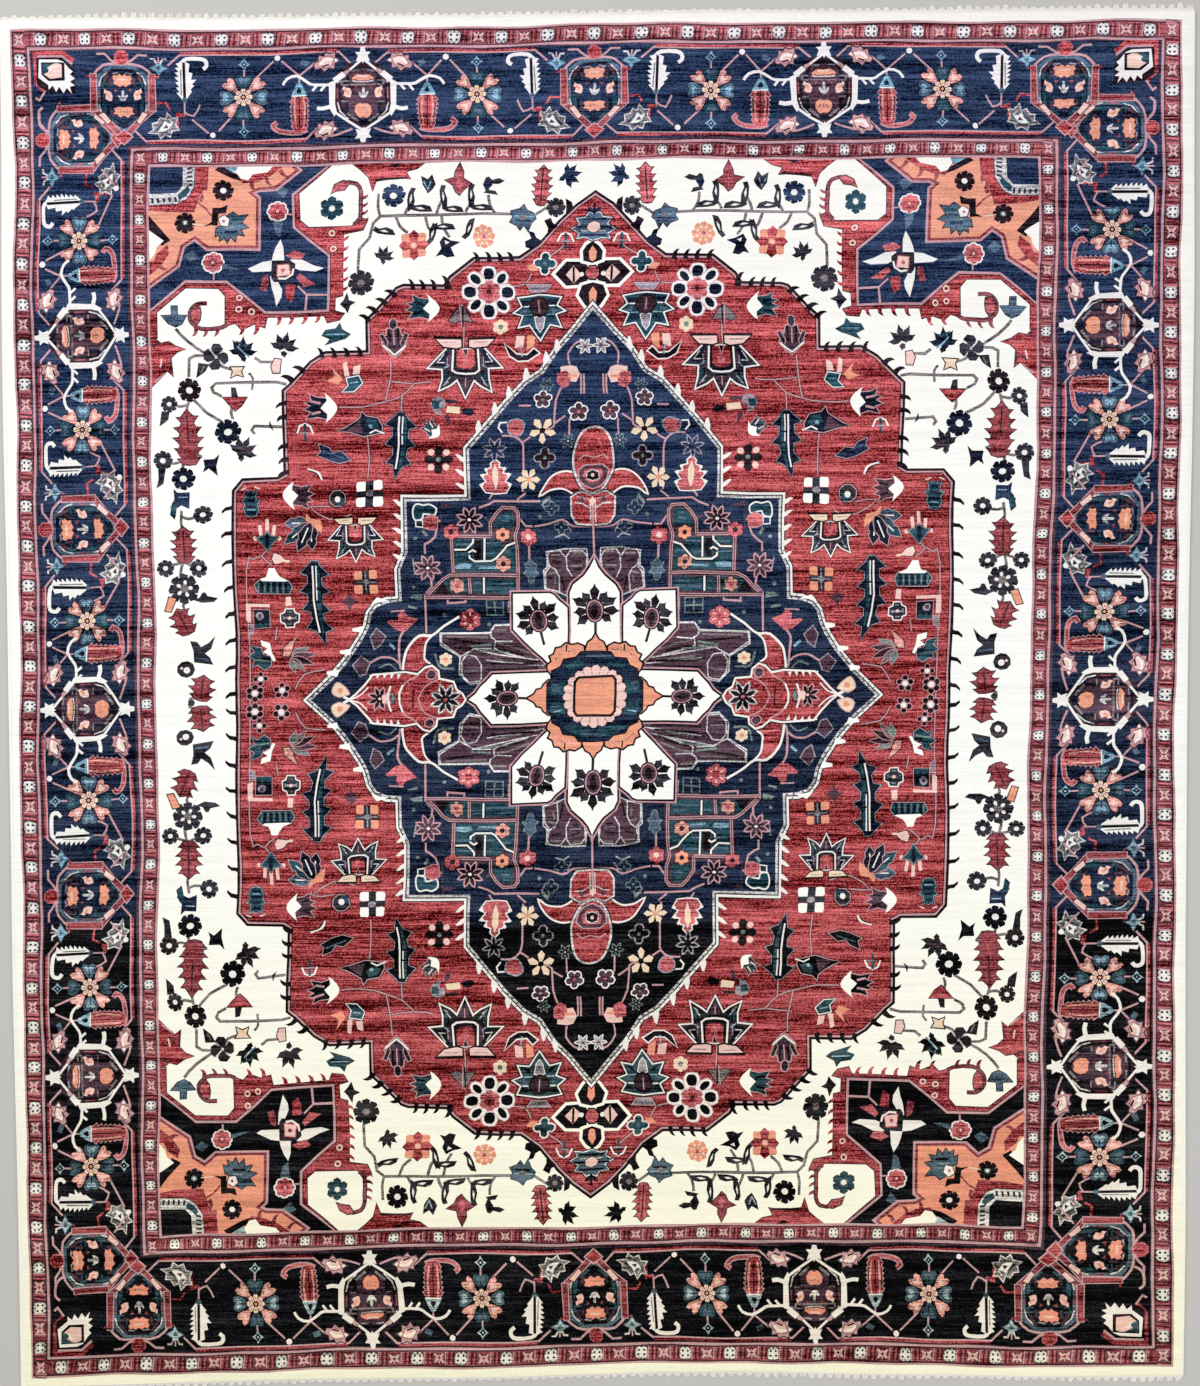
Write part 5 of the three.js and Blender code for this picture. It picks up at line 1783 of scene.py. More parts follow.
def pile_outline(inset):
    """Counter-clockwise outline of the pile, drawn in from its edge by an inset, as the solid has it."""
    left_bottom = (LEFT_EDGE[0] + inset, BOTTOM_EDGE[0] + inset)
    right_bottom = (RIGHT_EDGE[0] - inset, BOTTOM_EDGE[-1] + inset)
    right_top = (RIGHT_EDGE[-1] - inset, TOP_EDGE[-1] - inset)
    left_top = (LEFT_EDGE[-1] + inset, TOP_EDGE[0] - inset)
    sides = []
    along_end = np.arange(END_STEPS) / END_STEPS
    along_side = np.arange(SIDE_STEPS) / SIDE_STEPS
    x = left_bottom[0] + (right_bottom[0] - left_bottom[0]) * along_end
    sides.append(np.stack([x, curve(END_PLACES, BOTTOM_EDGE, x) + inset], axis=1))
    y = right_bottom[1] + (right_top[1] - right_bottom[1]) * along_side
    sides.append(np.stack([curve(SIDE_PLACES, RIGHT_EDGE, y) - inset, y], axis=1))
    x = right_top[0] + (left_top[0] - right_top[0]) * along_end
    sides.append(np.stack([x, curve(END_PLACES, TOP_EDGE, x) - inset], axis=1))
    y = left_top[1] + (left_bottom[1] - left_top[1]) * along_side
    sides.append(np.stack([curve(SIDE_PLACES, LEFT_EDGE, y) + inset, y], axis=1))
    return np.concatenate(sides)


def unevenness(u, v):
    """Small wander of the knotted lines, in knots, so that mirrored parts differ as hand work does."""
    across = (SLOW_WANDER * np.sin(v / 37 + 1.3 * np.sin(u / 61)) + WANDER * np.sin(u / 13 + v / 19)
              + QUICK_WANDER * np.sin(v / 5.3 + u / 7.1))
    along = (SLOW_WANDER * np.sin(u / 41 + 1.1 * np.sin(v / 53 + 2)) + WANDER * np.sin(u / 17 - v / 11 + 1)
             + QUICK_WANDER * np.sin(u / 4.7 - v / 6.3))
    return across, along


def to_rug(points):
    """Places on the rug in millimetres for chart points in knots."""
    u, v = np.array(points, float).T
    across, along = unevenness(u, v)
    x = (u + across) * KNOT
    y = (v + along) * KNOT
    sideways = [curve(DRIFT_PLACES_ALONG, line, y) for line in DRIFT_SIDEWAYS]
    lengthways = [curve(DRIFT_PLACES_ACROSS, line, x) for line in DRIFT_LENGTHWAYS]
    return np.stack([x + curve(LINES_ACROSS, sideways, u), y + curve(LINES_ALONG, lengthways, v)], axis=1)


# Mesh of the pile
MM = 0.001
SEAM_HALF_WIDTH = 455.8
SEAM_HALF_LENGTH = 552.8
LONGEST_STEP = 22
RELIEF_GRID = 55
GRID_HALF_WIDTH = 580
GRID_HALF_LENGTH = 670
LARGE_AREA = 120
TRIANGULATE_INSIDE = 1
WELD = 1e-3
TOP_SHARE_OF_MAP = 0.985
UNDERSIDE_SHARE_OF_MAP = 0.13
UNDERSIDE_PLACE_IN_MAP = 0.52
UNDERSIDE_SPACING = 1.1
SHARP_ANGLE = 50
OUTLINE_AND_SEAM_DYES = ["ivory", "pink"]
Layer = namedtuple("Layer", "points triangles topmost in_field rings")


def measured_shift():
    """How far the solid was moved so that its box is centred, in metres."""
    low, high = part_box("knotted_pile")
    own = pile_outline(0).min(axis=0) * MM
    return low[0] - own[0], low[1] - own[1]


SHIFT = np.array(measured_shift())


def relief(x, y):
    """Height of the pile's top above its thickness, in millimetres."""
    return (BROAD_SWELL * np.sin(x / 143 + 1.2 * np.sin(y / 211))
            + LONG_SWELL * np.sin(y / 97 + np.sin(x / 170))
            + SMALL_SWELL * np.sin(x / 39 + y / 31) - SWELLS_BELOW)


def stepped(points):
    """The polygon with long edges divided, so that they bend with the rug."""
    fine = []
    for i, (u, v) in enumerate(points):
        next_u, next_v = points[(i + 1) % len(points)]
        steps = max(1, int(math.hypot(next_u - u, next_v - v) / LONGEST_STEP))
        fine += [(u + (next_u - u) * step / steps,
                  v + (next_v - v) * step / steps) for step in range(steps)]
    turning = sum(fine[i - 1][0] * fine[i][1] - fine[i][0] * fine[i - 1][1] for i in range(len(fine)))
    return fine if turning > 0 else fine[::-1]


def seam_line():
    """The line in the inner narrow border where the field's mesh meets the border's."""
    a, b = SEAM_HALF_WIDTH, SEAM_HALF_LENGTH
    return stepped([(-a, -b), (a, -b), (a, b), (-a, b)])


def triangulated(outline, areas, loose):
    """One flat triangulation of the outline, the seam and all areas.

    Gives the points, the triangles, each triangle's topmost area and whether it lies in the field,
    and for the outline and the seam the numbers of their points.
    """
    polygons = [seam_line()] + [stepped(points) for _, points in areas]
    placed = to_rug([point for points in polygons for point in points])
    count = len(outline)
    faces = [list(range(count))]
    for points in polygons:
        faces.append(list(range(count, count + len(points))))
        count += len(points)
    points = np.concatenate([outline, placed, loose])
    flat, _, triangles, origins, _, sources = delaunay_2d_cdt(
        [Vector(point) for point in points], [], faces, TRIANGULATE_INSIDE, WELD)
    found = {}
    ring_size = len(outline) + len(polygons[0])
    for number, wanted in enumerate(origins):
        for origin in wanted:
            if origin < ring_size:
                found[origin] = number
    rings = [found[k] for k in range(len(outline))], [found[k] for k in range(len(outline), ring_size)]
    topmost = [max(source) for source in sources]
    in_field = [1 in source for source in sources]
    return Layer(np.array(flat), triangles, topmost, in_field, rings)


class Slab:
    """Gathers the points, faces, dyes and map places of one closed mesh."""

    def __init__(self):
        self.points = []
        self.faces = []
        self.dyes = []
        self.map_places = []

    def add_points(self, points):
        """Adds points in millimetres and gives the number of the first."""
        first = len(self.points)
        self.points += [tuple(point) for point in points]
        return first

    def add_face(self, corners, dye, places):
        """Adds a face with its dye and its corners' places in the map."""
        self.faces.append(corners)
        self.dyes.append(dye)
        self.map_places += places

    def piece(self, name):
        """The finished mesh object, with one material for each dye."""
        low = np.min(self.map_places, axis=0)
        high = np.max(self.map_places, axis=0)
        used = sorted(set(self.dyes))
        mesh = bpy.data.meshes.new(name)
        spots = np.array(self.points) * MM
        spots[:, :2] += SHIFT
        mesh.from_pydata([tuple(spot) for spot in spots], [], self.faces)
        for dye in used:
            mesh.materials.append(wool(dye))
        mesh.polygons.foreach_set("material_index", [used.index(dye) for dye in self.dyes])
        layer = mesh.uv_layers.new(name="OFBake")
        places = (np.array(self.map_places) - low) / (high - low).max() * TOP_SHARE_OF_MAP
        layer.uv.foreach_set("vector", places.astype(np.float32).ravel())
        mesh.shade_smooth()
        mesh.set_sharp_from_angle(angle=math.radians(SHARP_ANGLE))
        piece = bpy.data.objects.new(name, mesh)
        bpy.context.scene.collection.objects.link(piece)
        return piece


def pile_pieces():
    """The field and the border as two closed slabs that meet at the seam."""
    top_outline = pile_outline(PILE_INSET)
    under_outline = pile_outline(UNDERSIDE_INSET)
    large = [(dye, points) for dye, points in AREAS if np.ptp(np.array(points), axis=0).max() > LARGE_AREA]
    across = range(-GRID_HALF_WIDTH, GRID_HALF_WIDTH + 1, RELIEF_GRID)
    along = range(-GRID_HALF_LENGTH, GRID_HALF_LENGTH + 1, RELIEF_GRID)
    top = triangulated(top_outline, AREAS, to_rug([(u, v) for u in across for v in along]))
    under = triangulated(under_outline, large, np.zeros((0, 2)))
    slabs = []
    for in_field in (True, False):
        slab = Slab()
        firsts = []
        for layer, listed, level in ((top, AREAS, RUG_THICKNESS), (under, large, 0.0)):
            dyes = OUTLINE_AND_SEAM_DYES + [dye for dye, _ in listed]
            kept = [i for i, inside in enumerate(layer.in_field) if inside == in_field]
            corners = sorted({corner for i in kept for corner in layer.triangles[i]})
            number = {corner: i for i, corner in enumerate(corners)}
            x, y = layer.points[corners].T
            z = level + relief(x, y) if level else np.zeros(len(x))
            first = slab.add_points(np.stack([x, y, z], axis=1))
            firsts.append((first, number))
            full_width = np.ptp(x)
            for i in kept:
                order = layer.triangles[i] if level else layer.triangles[i][::-1]
                places = [tuple(layer.points[corner]) for corner in order]
                if not level:
                    places = [shrunk(place, full_width) for place in places]
                slab.add_face([first + number[corner] for corner in order], dyes[layer.topmost[i]], places)
        close_sides(slab, top, under, firsts, in_field)
        slabs.append(slab)
    return slabs[0].piece("field_pile"), slabs[1].piece("border_pile")


def shrunk(place, full_width):
    """Map place of an underside point, in the free strip beside the top."""
    share = UNDERSIDE_SHARE_OF_MAP
    middle = full_width * UNDERSIDE_PLACE_IN_MAP
    return middle + place[0] * share + full_width * share / 2 * UNDERSIDE_SPACING, place[1] * share


def close_sides(slab, top, under, firsts, in_field):
    """Walls between the top and the underside, at the seam and round the rug's edge."""
    outline, seam = top.rings
    rings = [[first + number[corner] for corner in layer.rings[1]]
             for (first, number), layer in zip(firsts, (top, under))]
    flat = top.points[seam]
    wall(slab, rings[0], rings[1], flat, RUG_THICKNESS, not in_field)
    if in_field:
        return
    first, number = firsts[0]
    upper = [first + number[corner] for corner in outline]
    flat = top.points[outline]
    fallen = 0.0
    for inset, level in PILE_LAYERS:
        edge = pile_outline(inset)
        first = slab.add_points(np.column_stack([edge, np.full(len(edge), level)]))
        lower = list(range(first, first + len(edge)))
        drop = RUG_THICKNESS - fallen - level
        wall(slab, upper, lower, flat, drop, False, fallen)
        fallen += drop
        upper = lower
    first, number = firsts[1]
    lower = [first + number[corner] for corner in under.rings[0]]
    wall(slab, upper, lower, flat, RUG_THICKNESS - fallen, False, fallen)


def wall(slab, upper, lower, flat, drop, inward, start=0.0):
    """A closed band of faces from one ring of points down to another, laid outwards in the map."""
    ahead = np.roll(flat, -1, axis=0) - np.roll(flat, 1, axis=0)
    out = np.stack([ahead[:, 1], -ahead[:, 0]], axis=1) / np.linalg.norm(ahead, axis=1)[:, None]
    out = -out if inward else out
    near = flat + out * start
    far = flat + out * (start + drop)
    count = len(upper)
    for i in range(count):
        j = (i + 1) % count
        corners = [upper[i], lower[i], lower[j], upper[j]]
        places = [tuple(near[i]), tuple(far[i]), tuple(far[j]), tuple(near[j])]
        if inward:
            corners.reverse()
            places.reverse()
        slab.add_face(corners, "ivory", places)


# Dyes as they look on the rug at its top end, in its middle and at its low end, in display colours. The
# change from end to end is painted light: each dye is lighter and cooler towards the top end and darker and
# warmer towards the low end. Some dyes also change suddenly below the middle, where the yarn lot changes.
DYES_WITH_PAINTED_FALLOFF = {
    "ivory": ((240, 238, 234), (243, 243, 239), (243, 239, 208)),
    "white": ((232, 228, 232), (232, 230, 226), (230, 220, 202)),
    "cream": ((232, 208, 180), (230, 206, 180), (226, 196, 162)),
    "madder": ((173, 74, 81), (153, 63, 66), (137, 53, 53)),
    "rose": ((182, 98, 106), (182, 94, 100), (166, 86, 84)),
    "rust": ((150, 78, 86), (134, 66, 72), (122, 58, 60)),
    "pink": ((194, 150, 160), (188, 144, 150), (186, 148, 142)),
    "blush": ((232, 196, 190), (230, 196, 188), (222, 180, 162)),
    "peach": ((226, 156, 136), (226, 152, 124), (218, 140, 110)),
    "salmon": ((196, 138, 136), (200, 142, 132), (200, 142, 124)),
    "plum": ((82, 58, 72), (78, 56, 68), (60, 42, 48)),
    "navy": ((37, 52, 82), (27, 38, 59), (2, 2, 6)),
    "night": ((20, 26, 46), (18, 22, 38), (2, 2, 6)),
    "teal": ((38, 70, 84), (36, 68, 78), (46, 68, 72)),
    "slate": ((80, 100, 124), (76, 94, 112), (72, 88, 92)),
    "sky": ((116, 156, 180), (118, 152, 170), (148, 164, 158)),
    "sage": ((104, 122, 124), (106, 122, 118), (118, 128, 116)),
    "silver": ((192, 188, 196), (188, 186, 188), (190, 184, 168)),
    "grey": ((142, 132, 148), (142, 134, 144), (144, 134, 128)),
    "stone": ((120, 110, 118), (116, 108, 110), (112, 102, 94)),
    "charcoal": ((50, 48, 58), (46, 44, 52), (36, 32, 34)),
    "umber": ((58, 38, 46), (52, 34, 40), (38, 24, 26)),
    "dark": ((34, 22, 32), (30, 20, 26), (18, 10, 14)),
}
STREAKS = {"madder": 1.2, "rose": 0.9, "rust": 0.9, "navy": 1.1, "ivory": 0.07, "white": 0.16,
           "peach": 0.32, "blush": 0.25, "cream": 0.2, "pink": 0.36}
USUAL_STREAKS = 0.95
LEAST_LIGHT = 0.2
BROAD_STREAKS = 3.0
ROW_STREAKS = 3.4
MEAN_OF_STREAKS = 3.7
FADING = {"madder": 0.06, "rose": 0.05, "rust": 0.04}
USUAL_FADING = 0.02
CHANGES_AT_MIDDLE = ("navy", "night", "dark", "teal", "charcoal")
COLOUR_LEVELS = 255
YARN_CHANGE = -0.437
CHANGE_SOFTNESS = 0.006
YARN_WANDER = 0.05
TOP_END = 1.45


def linear(colour):
    """Display colour as linear light, with full opacity. The numbers are those of the sRGB curve."""
    shares = [value / COLOUR_LEVELS for value in colour]
    light = [share / 12.92 if share <= 0.04045 else ((share + 0.055) / 1.055) ** 2.4 for share in shares]
    return (*light, 1.0)


class Nodes:
    """Short way to add and join shader nodes of one material."""

    def __init__(self, name):
        self.material = bpy.data.materials.new(name)
        self.material.use_nodes = True
        self.tree = self.material.node_tree
        self.shader = self.tree.nodes["Principled BSDF"]

    def add(self, kind, inputs=(), **settings):
        """A node with its settings, and its inputs as values or as other nodes' outputs."""
        node = self.tree.nodes.new(kind)
        for name, value in settings.items():
            setattr(node, name, value)
        for name, value in dict(inputs).items():
            self.feed(node.inputs[name], value)
        return node

    def feed(self, socket, value):
        """Sets a socket, or links it where the value is an output."""
        if isinstance(value, bpy.types.NodeSocket):
            self.tree.links.new(value, socket)
        else:
            socket.default_value = value

    def noise(self, scale, stretch=(1, 1, 1), detail=2.0, roughness=0.5):
        """Noise over the rug, stretched where the scale along an axis is low."""
        coords = self.add("ShaderNodeTexCoord").outputs["Object"]
        placed = self.add("ShaderNodeMapping", {"Vector": coords, "Scale": stretch}).outputs["Vector"]
        node = self.add("ShaderNodeTexNoise", {"Vector": placed, "Scale": scale, "Detail": detail,
                                               "Roughness": roughness})
        return node.outputs["Fac"]

    def math(self, operation, first, second=0.0, third=0.0):
        """One sum of up to three values."""
        return self.add("ShaderNodeMath", {0: first, 1: second, 2: third}, operation=operation).outputs[0]


def dye_with_painted_falloff(nodes, dye):
    """The dye's colour along the rug, with painted light: lighter towards the top end and darker towards the
    low end. Some dyes also change suddenly below the middle, where the yarn lot changes.
    """
    top, middle, low = DYES_WITH_PAINTED_FALLOFF[dye]
    place = nodes.add("ShaderNodeSeparateXYZ",
                      {0: nodes.add("ShaderNodeTexCoord").outputs["Object"]}).outputs["Y"]
    wander = nodes.math("MULTIPLY_ADD", nodes.noise(1.0, (1.5, 14, 1)), YARN_WANDER, place)
    share = nodes.math("MULTIPLY_ADD", wander, 0.5 / TOP_END, 0.5 - YARN_WANDER / 4 / TOP_END)
    ramp_node = nodes.add("ShaderNodeValToRGB", {"Fac": share})
    ramp = ramp_node.color_ramp
    change = 0.5 + YARN_CHANGE * 0.5 / TOP_END
    if dye in CHANGES_AT_MIDDLE:
        stops = [(0.0, low), (change - CHANGE_SOFTNESS, low), (change + CHANGE_SOFTNESS, middle),
                 (0.52, middle), (0.75, top)]
    else:
        stops = [(0.05, low), (0.45, middle), (0.62, middle), (0.95, top)]
    while len(ramp.elements) < len(stops):
        ramp.elements.new(0.5)
    for element, (position, colour) in zip(ramp.elements, stops):
        element.position = position
        element.color = linear(colour)
    return ramp_node.outputs["Color"]


def knot_cells(nodes):
    """A value for every knot of its own."""
    coords = nodes.add("ShaderNodeTexCoord").outputs["Object"]
    knots = nodes.add("ShaderNodeVectorMath", {0: coords, "Scale": 1 / (KNOT * MM)},
                      operation="SCALE").outputs["Vector"]
    cells = nodes.add("ShaderNodeVectorMath", {0: knots}, operation="FLOOR").outputs["Vector"]
    return nodes.add("ShaderNodeTexWhiteNoise", {"Vector": cells}, noise_dimensions="2D").outputs["Value"]


def streaked(nodes, colour, amount, fading):
    """The colour made lighter and darker in rows across the rug, as handspun yarn takes the dye."""
    broad = nodes.noise(1.0, (1.3, 44, 1), 3.0, 0.6)
    rows = nodes.noise(1.0, (13, 330, 1), 2.0, 0.6)
    mixed = nodes.math("MULTIPLY_ADD", broad, BROAD_STREAKS,
                       nodes.math("MULTIPLY_ADD", rows, ROW_STREAKS, knot_cells(nodes)))
    light = nodes.math("MULTIPLY_ADD", mixed, amount, 1.0 - MEAN_OF_STREAKS * amount)
    light = nodes.math("MAXIMUM", light, LEAST_LIGHT)
    faded = nodes.math("MULTIPLY_ADD", light, fading, -fading)
    scaled = nodes.add("ShaderNodeVectorMath", {0: colour, 1: light, 2: faded}, operation="MULTIPLY_ADD")
    return scaled.outputs["Vector"]


def knot_bump(nodes, strength=0.35):
    """Rows of cut knots: fine fuzz over faint ridges across the rug."""
    coords = nodes.add("ShaderNodeTexCoord").outputs["Object"]
    ridges = nodes.add("ShaderNodeTexWave", {"Vector": coords, "Scale": 1000 / KNOT / 20, "Distortion": 2.5,
                                             "Detail": 2.0, "Detail Scale": 3.0},
                       bands_direction="Y").outputs["Fac"]
    fuzz = nodes.noise(900.0, (1, 1, 1), 3.0, 0.7)
    height = nodes.math("MULTIPLY_ADD", ridges, 0.35, fuzz)
    bump = nodes.add("ShaderNodeBump", {"Height": height, "Strength": strength, "Distance": 0.0012})
    return bump.outputs["Normal"]


def wool(dye):
    """Matt knotted wool in one dye, with painted light that makes it lighter towards the rug's top end and
    darker towards its low end.
    """
    known = bpy.data.materials.get("wool_" + dye)
    if known:
        return known
    nodes = Nodes("wool_" + dye)
    colour = streaked(nodes, dye_with_painted_falloff(nodes, dye), STREAKS.get(dye, USUAL_STREAKS),
                      FADING.get(dye, USUAL_FADING))
    nodes.feed(nodes.shader.inputs["Base Color"], colour)
    nodes.feed(nodes.shader.inputs["Normal"], knot_bump(nodes))
    nodes.shader.inputs["Roughness"].default_value = 0.95
    nodes.shader.inputs["Specular IOR Level"].default_value = 0.03
    nodes.shader.inputs["Sheen Weight"].default_value = 0.02
    nodes.shader.inputs["Sheen Roughness"].default_value = 0.6
    return nodes.material


def warp_cotton(name, colour, shade):
    """Hand-spun cotton, mottled between two colours."""
    nodes = Nodes(name)
    patches = nodes.noise(30.0, (1, 1, 1), 4.0, 0.65)
    mixed = nodes.add("ShaderNodeMix", {0: patches, 6: linear(shade), 7: linear(colour)}, data_type="RGBA")
    nodes.feed(nodes.shader.inputs["Base Color"], mixed.outputs[2])
    nodes.feed(nodes.shader.inputs["Normal"], knot_bump(nodes, 0.5))
    nodes.shader.inputs["Roughness"].default_value = 0.9
    nodes.shader.inputs["Specular IOR Level"].default_value = 0.2
    nodes.shader.inputs["Sheen Weight"].default_value = 0.1
    return nodes.material


# Ends and sides
LOCKS_PER_END = 130
WEB_WIDTH = 5.0
PIECE_GAP = 0.3
LOCK_SHARE_OF_PITCH = 0.8
LOCK_TIP_SHARE = 0.55
TIP_UNEVENNESS = 0.4
LOCK_LEAN = 0.5
LOCK_UNEVENNESS = 5.0
SHORTEST_LOCK = 2.4
YARNS_PER_LOCK = 7
YARN_SIDES = 5
YARN_STEPS = 5
YARN_RADIUS = 1.1
YARN_TAPER = 0.3
YARN_BOW = 0.9
YARN_SHORTENING = 0.3
ROOT_LIFT = 0.5
LEAST_HEIGHT = 0.02
BOTTOM_REACH = [12, 13, 11, 10.5, 9, 11, 12.5, 13.5, 16, 11, 12, 15.5]
TOP_REACH = [8, 15, 13.5, 12, 12, 13.5, 8.5, 9.5, 9.5, 13.5, 11.5, 17]
WEB_TUCK = 2.0
WEB_SECTION = [(-WEB_TUCK, 0.05), (WEB_WIDTH, 0.05), (WEB_WIDTH + 0.15, 1.0), (WEB_WIDTH - 0.8, 2.0),
               (3.3, 1.7), (1.8, 2.1), (-WEB_TUCK, 1.9)]
RIB_PITCH = 3.1
STEPS_PER_RIB = 2
RIB_HEIGHTS = (-0.1, 0.25)
WRAP_PITCH = 5.2
STEPS_PER_WRAP = 3
WRAP_SWELL = 0.32
WRAP_UNEVENNESS = 0.12
SELVEDGE_INSET = 0.45
SELVEDGE_DROP = 0.25
COTTON = (252, 250, 246)
COTTON_SHADE = (222, 216, 206)
EDGE_WOOL = (250, 249, 244)
EDGE_WOOL_SHADE = (232, 228, 216)
SELVEDGE_SECTION = [(0.0, 0.6), (0.0, 5.6), (-1.2, 7.3), (-4.2, 8.35), (-8.2, 8.2), (-9.6, 7.2),
                    (-9.6, 1.0), (-2.0, 0.15)]


def uneven(number):
    """Fixed unevenness between -0.5 and 0.5 for a number."""
    wave = math.sin(number * 12.9898) * 43758.5453
    return wave - math.floor(wave) - 0.5


def read(places, row, at):
    """One value off a smooth curve."""
    return float(curve(places, row, np.array([float(at)]))[0])


def mesh_piece(name, points, faces, material):
    """A smooth mesh object from points in millimetres."""
    mesh = bpy.data.meshes.new(name)
    spots = np.array(points) * MM
    spots[:, :2] += SHIFT
    mesh.from_pydata([tuple(spot) for spot in spots], [], faces)
    mesh.materials.append(material)
    mesh.shade_smooth()
    piece = bpy.data.objects.new(name, mesh)
    bpy.context.scene.collection.objects.link(piece)
    return piece


def swept(points, faces, rings):
    """Adds a tube through rings of points, with its ends closed."""
    first = len(points)
    count = len(rings[0])
    for ring in rings:
        points += ring
    for step in range(len(rings) - 1):
        low = first + step * count
        high = low + count
        for i in range(count):
            j = (i + 1) % count
            faces.append([low + i, low + j, high + j, high + i])
    faces.append([first + i for i in reversed(range(count))])
    faces.append([len(points) - count + i for i in range(count)])


def yarn(points, faces, start, end, number):
    """One warp end: a thin limp yarn that lies on the floor and narrows to its tip."""
    rings = []
    across = np.array([end[1] - start[1], start[0] - end[0]])
    across = across / (np.linalg.norm(across) or 1.0)
    bow = YARN_BOW * uneven(number + 0.13)
    root = np.array(start)
    way = np.array(end) - root
    for step in range(YARN_STEPS):
        t = step / (YARN_STEPS - 1)
        middle = root + way * t + across * bow * math.sin(math.pi * t)
        radius = YARN_RADIUS * (1.0 - YARN_TAPER * t)
        height = radius + ROOT_LIFT * (1 - t) * (0.6 + uneven(number + 0.4))
        ring = []
        for i in range(YARN_SIDES):
            angle = 2 * math.pi * i / YARN_SIDES
            spot = middle + across * radius * math.cos(angle)
            ring.append((spot[0], spot[1], max(height + radius * math.sin(angle), LEAST_HEIGHT)))
        rings.append(ring)
    swept(points, faces, rings)


def end_finish(end, places_row, reach_row, outward, left, right):
    """Flat-woven strip of one end with its worn warp ends."""
    points = []
    faces = []
    pitch = (right - left) / LOCKS_PER_END
    for lock in range(LOCKS_PER_END):
        number = lock + (0 if outward > 0 else LOCKS_PER_END)
        middle = left + pitch * (lock + 0.5)
        root = pitch * LOCK_SHARE_OF_PITCH / 2
        tip = root * (LOCK_TIP_SHARE + TIP_UNEVENNESS * uneven(number + 0.3))
        lean = middle + root * LOCK_LEAN * uneven(number + 0.7)
        reach = read(END_PLACES, reach_row, middle) + LOCK_UNEVENNESS * uneven(number)
        edge = read(END_PLACES, places_row, middle) + outward * PIECE_GAP
        length = max(reach, WEB_WIDTH + SHORTEST_LOCK)
        for strand in range(YARNS_PER_LOCK):
            own = number * YARNS_PER_LOCK + strand
            share = (strand + 0.5) / YARNS_PER_LOCK * 2 - 1
            start = (middle + root * share, edge + outward * (WEB_WIDTH - 1.0))
            drawn_in = 1.0 - YARN_SHORTENING * (uneven(own * 1.7) + 0.5)
            reach_here = WEB_WIDTH + (length - WEB_WIDTH) * drawn_in
            finish = (lean + tip * share, edge + outward * reach_here)
            yarn(points, faces, start, finish, own)
    web(points, faces, places_row, outward, left, right)
    cotton = warp_cotton(end + "_warp_cotton", COTTON, COTTON_SHADE)
    return mesh_piece(end + "_fringe_yarns", points, faces, cotton)


def web(points, faces, places_row, outward, left, right):
    """Ribbed strip of plain weave between the pile and the loose warp ends."""
    count = int((right - left) / RIB_PITCH * STEPS_PER_RIB)
    x = np.linspace(left, right, count)
    edge = curve(END_PLACES, places_row, x) + outward * PIECE_GAP
    rings = []
    for step in range(count):
        rib = RIB_HEIGHTS[step % STEPS_PER_RIB]
        ring = [(x[step], edge[step] + outward * across, max(height + (rib if height > 0.5 else 0), 0.05))
                for across, height in WEB_SECTION]
        rings.append(ring if outward < 0 else ring[::-1])
    swept(points, faces, rings)


def selvedge(side):
    """Overcast cord along one long side, wrapped in ivory wool."""
    row = LEFT_EDGE if side == "left" else RIGHT_EDGE
    out = -1 if side == "left" else 1
    corner = 0 if side == "left" else -1
    start = BOTTOM_EDGE[corner] + 1.0
    finish = TOP_EDGE[corner] - 1.0
    count = int((finish - start) / WRAP_PITCH * STEPS_PER_WRAP)
    y = np.linspace(start, finish, count)
    x = curve(SIDE_PLACES, row, y)
    rings = []
    for step in range(count):
        ring = []
        for i, (across, height) in enumerate(SELVEDGE_SECTION):
            turn = 2 * math.pi * (step / STEPS_PER_WRAP + i / len(SELVEDGE_SECTION) * 0.5)
            swell = WRAP_SWELL * math.sin(turn) + WRAP_UNEVENNESS * uneven(step // STEPS_PER_WRAP + 3)
            outwards = swell * (1 if across > -5 else 0) * (0.8 if height < 6.5 else 0)
            upwards = swell * (0.9 if height > 6.5 else 0)
            ring.append((x[step] + out * (across - SELVEDGE_INSET + outwards), y[step],
                         max(height - SELVEDGE_DROP + upwards, 0.0)))
        rings.append(ring if out > 0 else ring[::-1])
    points = []
    faces = []
    swept(points, faces, rings)
    return mesh_piece(side + "_selvedge", points, faces,
                      warp_cotton(side + "_selvedge_wool", EDGE_WOOL, EDGE_WOOL_SHADE))


# Camera, in knots from the middle of the pattern
CAMERA_PLACE = (8.464, 85.183, 1922.98)
CAMERA_TURN = (-0.0382376, 0.0022474, -0.0042537)
LENS = 50
SENSOR = 36
FLOOR_HALF = 40.0
FLOOR_COLOUR = (188, 186, 182)
SURROUND_LIGHT = 0.59
PANELS = [
    ("key_panel", (-2.6, 2.4, 4.4), 3.0, 142.0),
    ("fill_panel", (2.8, -1.6, 4.6), 3.2, 86.0),
]


def add_camera():
    """Camera high over the rug, nearly straight down, as in the photograph."""
    data = bpy.data.cameras.new("camera")
    data.lens = LENS
    data.sensor_fit = "VERTICAL"
    data.sensor_height = SENSOR
    camera = bpy.data.objects.new("camera", data)
    place = np.array(CAMERA_PLACE) * KNOT * MM
    camera.location = (place[0] + SHIFT[0], place[1] + SHIFT[1], place[2] + RUG_THICKNESS * MM)
    camera.rotation_euler = Euler(CAMERA_TURN)
    bpy.context.scene.collection.objects.link(camera)
    bpy.context.scene.camera = camera


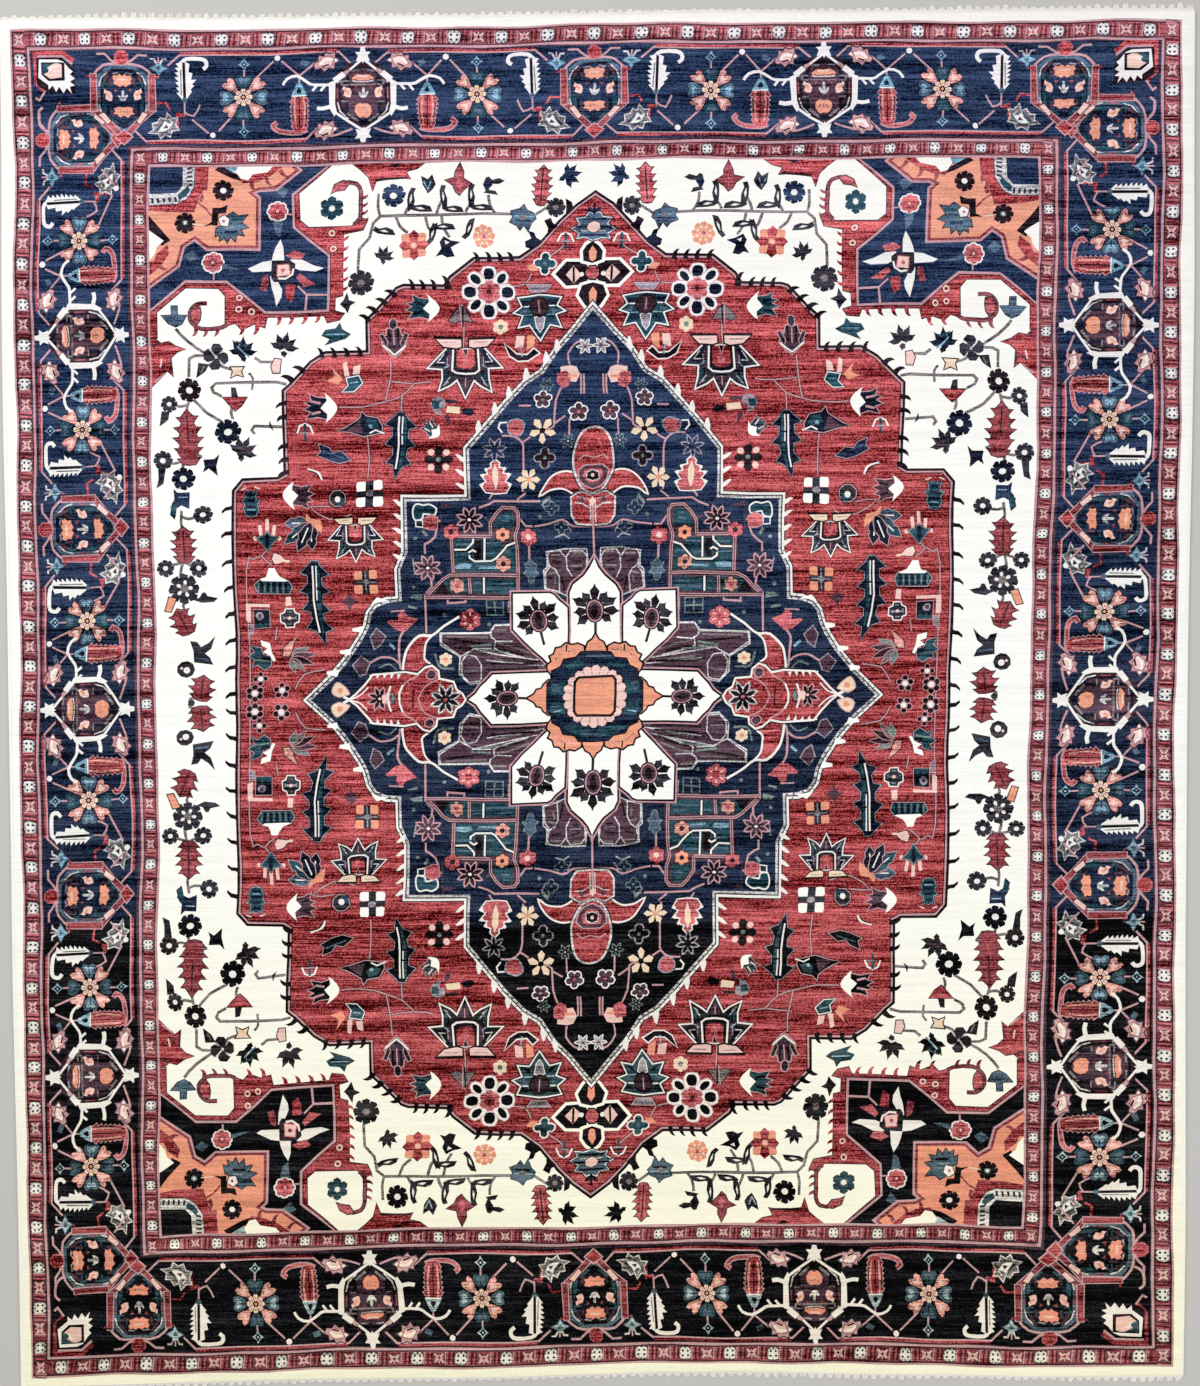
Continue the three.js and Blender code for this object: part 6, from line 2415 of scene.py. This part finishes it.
def add_floor():
    """Plain pale floor under the rug."""
    mesh = bpy.data.meshes.new("floor")
    corners = [(u * FLOOR_HALF, v * FLOOR_HALF, 0) for u, v in ((-1, -1), (1, -1), (1, 1), (-1, 1))]
    mesh.from_pydata(corners, [], [(0, 1, 2, 3)])
    nodes = Nodes("pale_floor")
    nodes.shader.inputs["Base Color"].default_value = linear(FLOOR_COLOUR)
    nodes.shader.inputs["Roughness"].default_value = 0.8
    mesh.materials.append(nodes.material)
    floor = bpy.data.objects.new("floor", mesh)
    bpy.context.scene.collection.objects.link(floor)


def add_light():
    """Soft even studio light from large panels and a pale surround."""
    world = bpy.data.worlds.new("studio")
    world.use_nodes = True
    world.node_tree.nodes["Background"].inputs["Color"].default_value = (1.0, 1.0, 1.0, 1.0)
    world.node_tree.nodes["Background"].inputs["Strength"].default_value = SURROUND_LIGHT
    bpy.context.scene.world = world
    for name, place, size, power in PANELS:
        light = bpy.data.lights.new(name, "AREA")
        light.size = size
        light.energy = power
        lamp = bpy.data.objects.new(name, light)
        lamp.location = place
        lamp.rotation_euler = (-Vector(place)).to_track_quat("-Z", "Y").to_euler()
        bpy.context.scene.collection.objects.link(lamp)
    bpy.context.scene.view_settings.view_transform = "Standard"


def main():
    """Builds the rug's looks around the frame."""
    field, edge = pile_pieces()
    sides = [selvedge("left"), selvedge("right")]
    left = LEFT_EDGE[-1] + UNDERSIDE_INSET
    right = RIGHT_EDGE[-1] - UNDERSIDE_INSET
    top = end_finish("top", TOP_EDGE, TOP_REACH, 1, left, right)
    left = LEFT_EDGE[0] + UNDERSIDE_INSET
    right = RIGHT_EDGE[0] - UNDERSIDE_INSET
    bottom = end_finish("bottom", BOTTOM_EDGE, BOTTOM_REACH, -1, left, right)
    for piece in (field, edge, *sides, top, bottom):
        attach(piece, "root")
    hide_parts("knotted_pile")
    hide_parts("knotted_pile")
    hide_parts("top_end_fringe")
    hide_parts("bottom_end_fringe")
    add_camera()
    add_floor()
    add_light()


main()
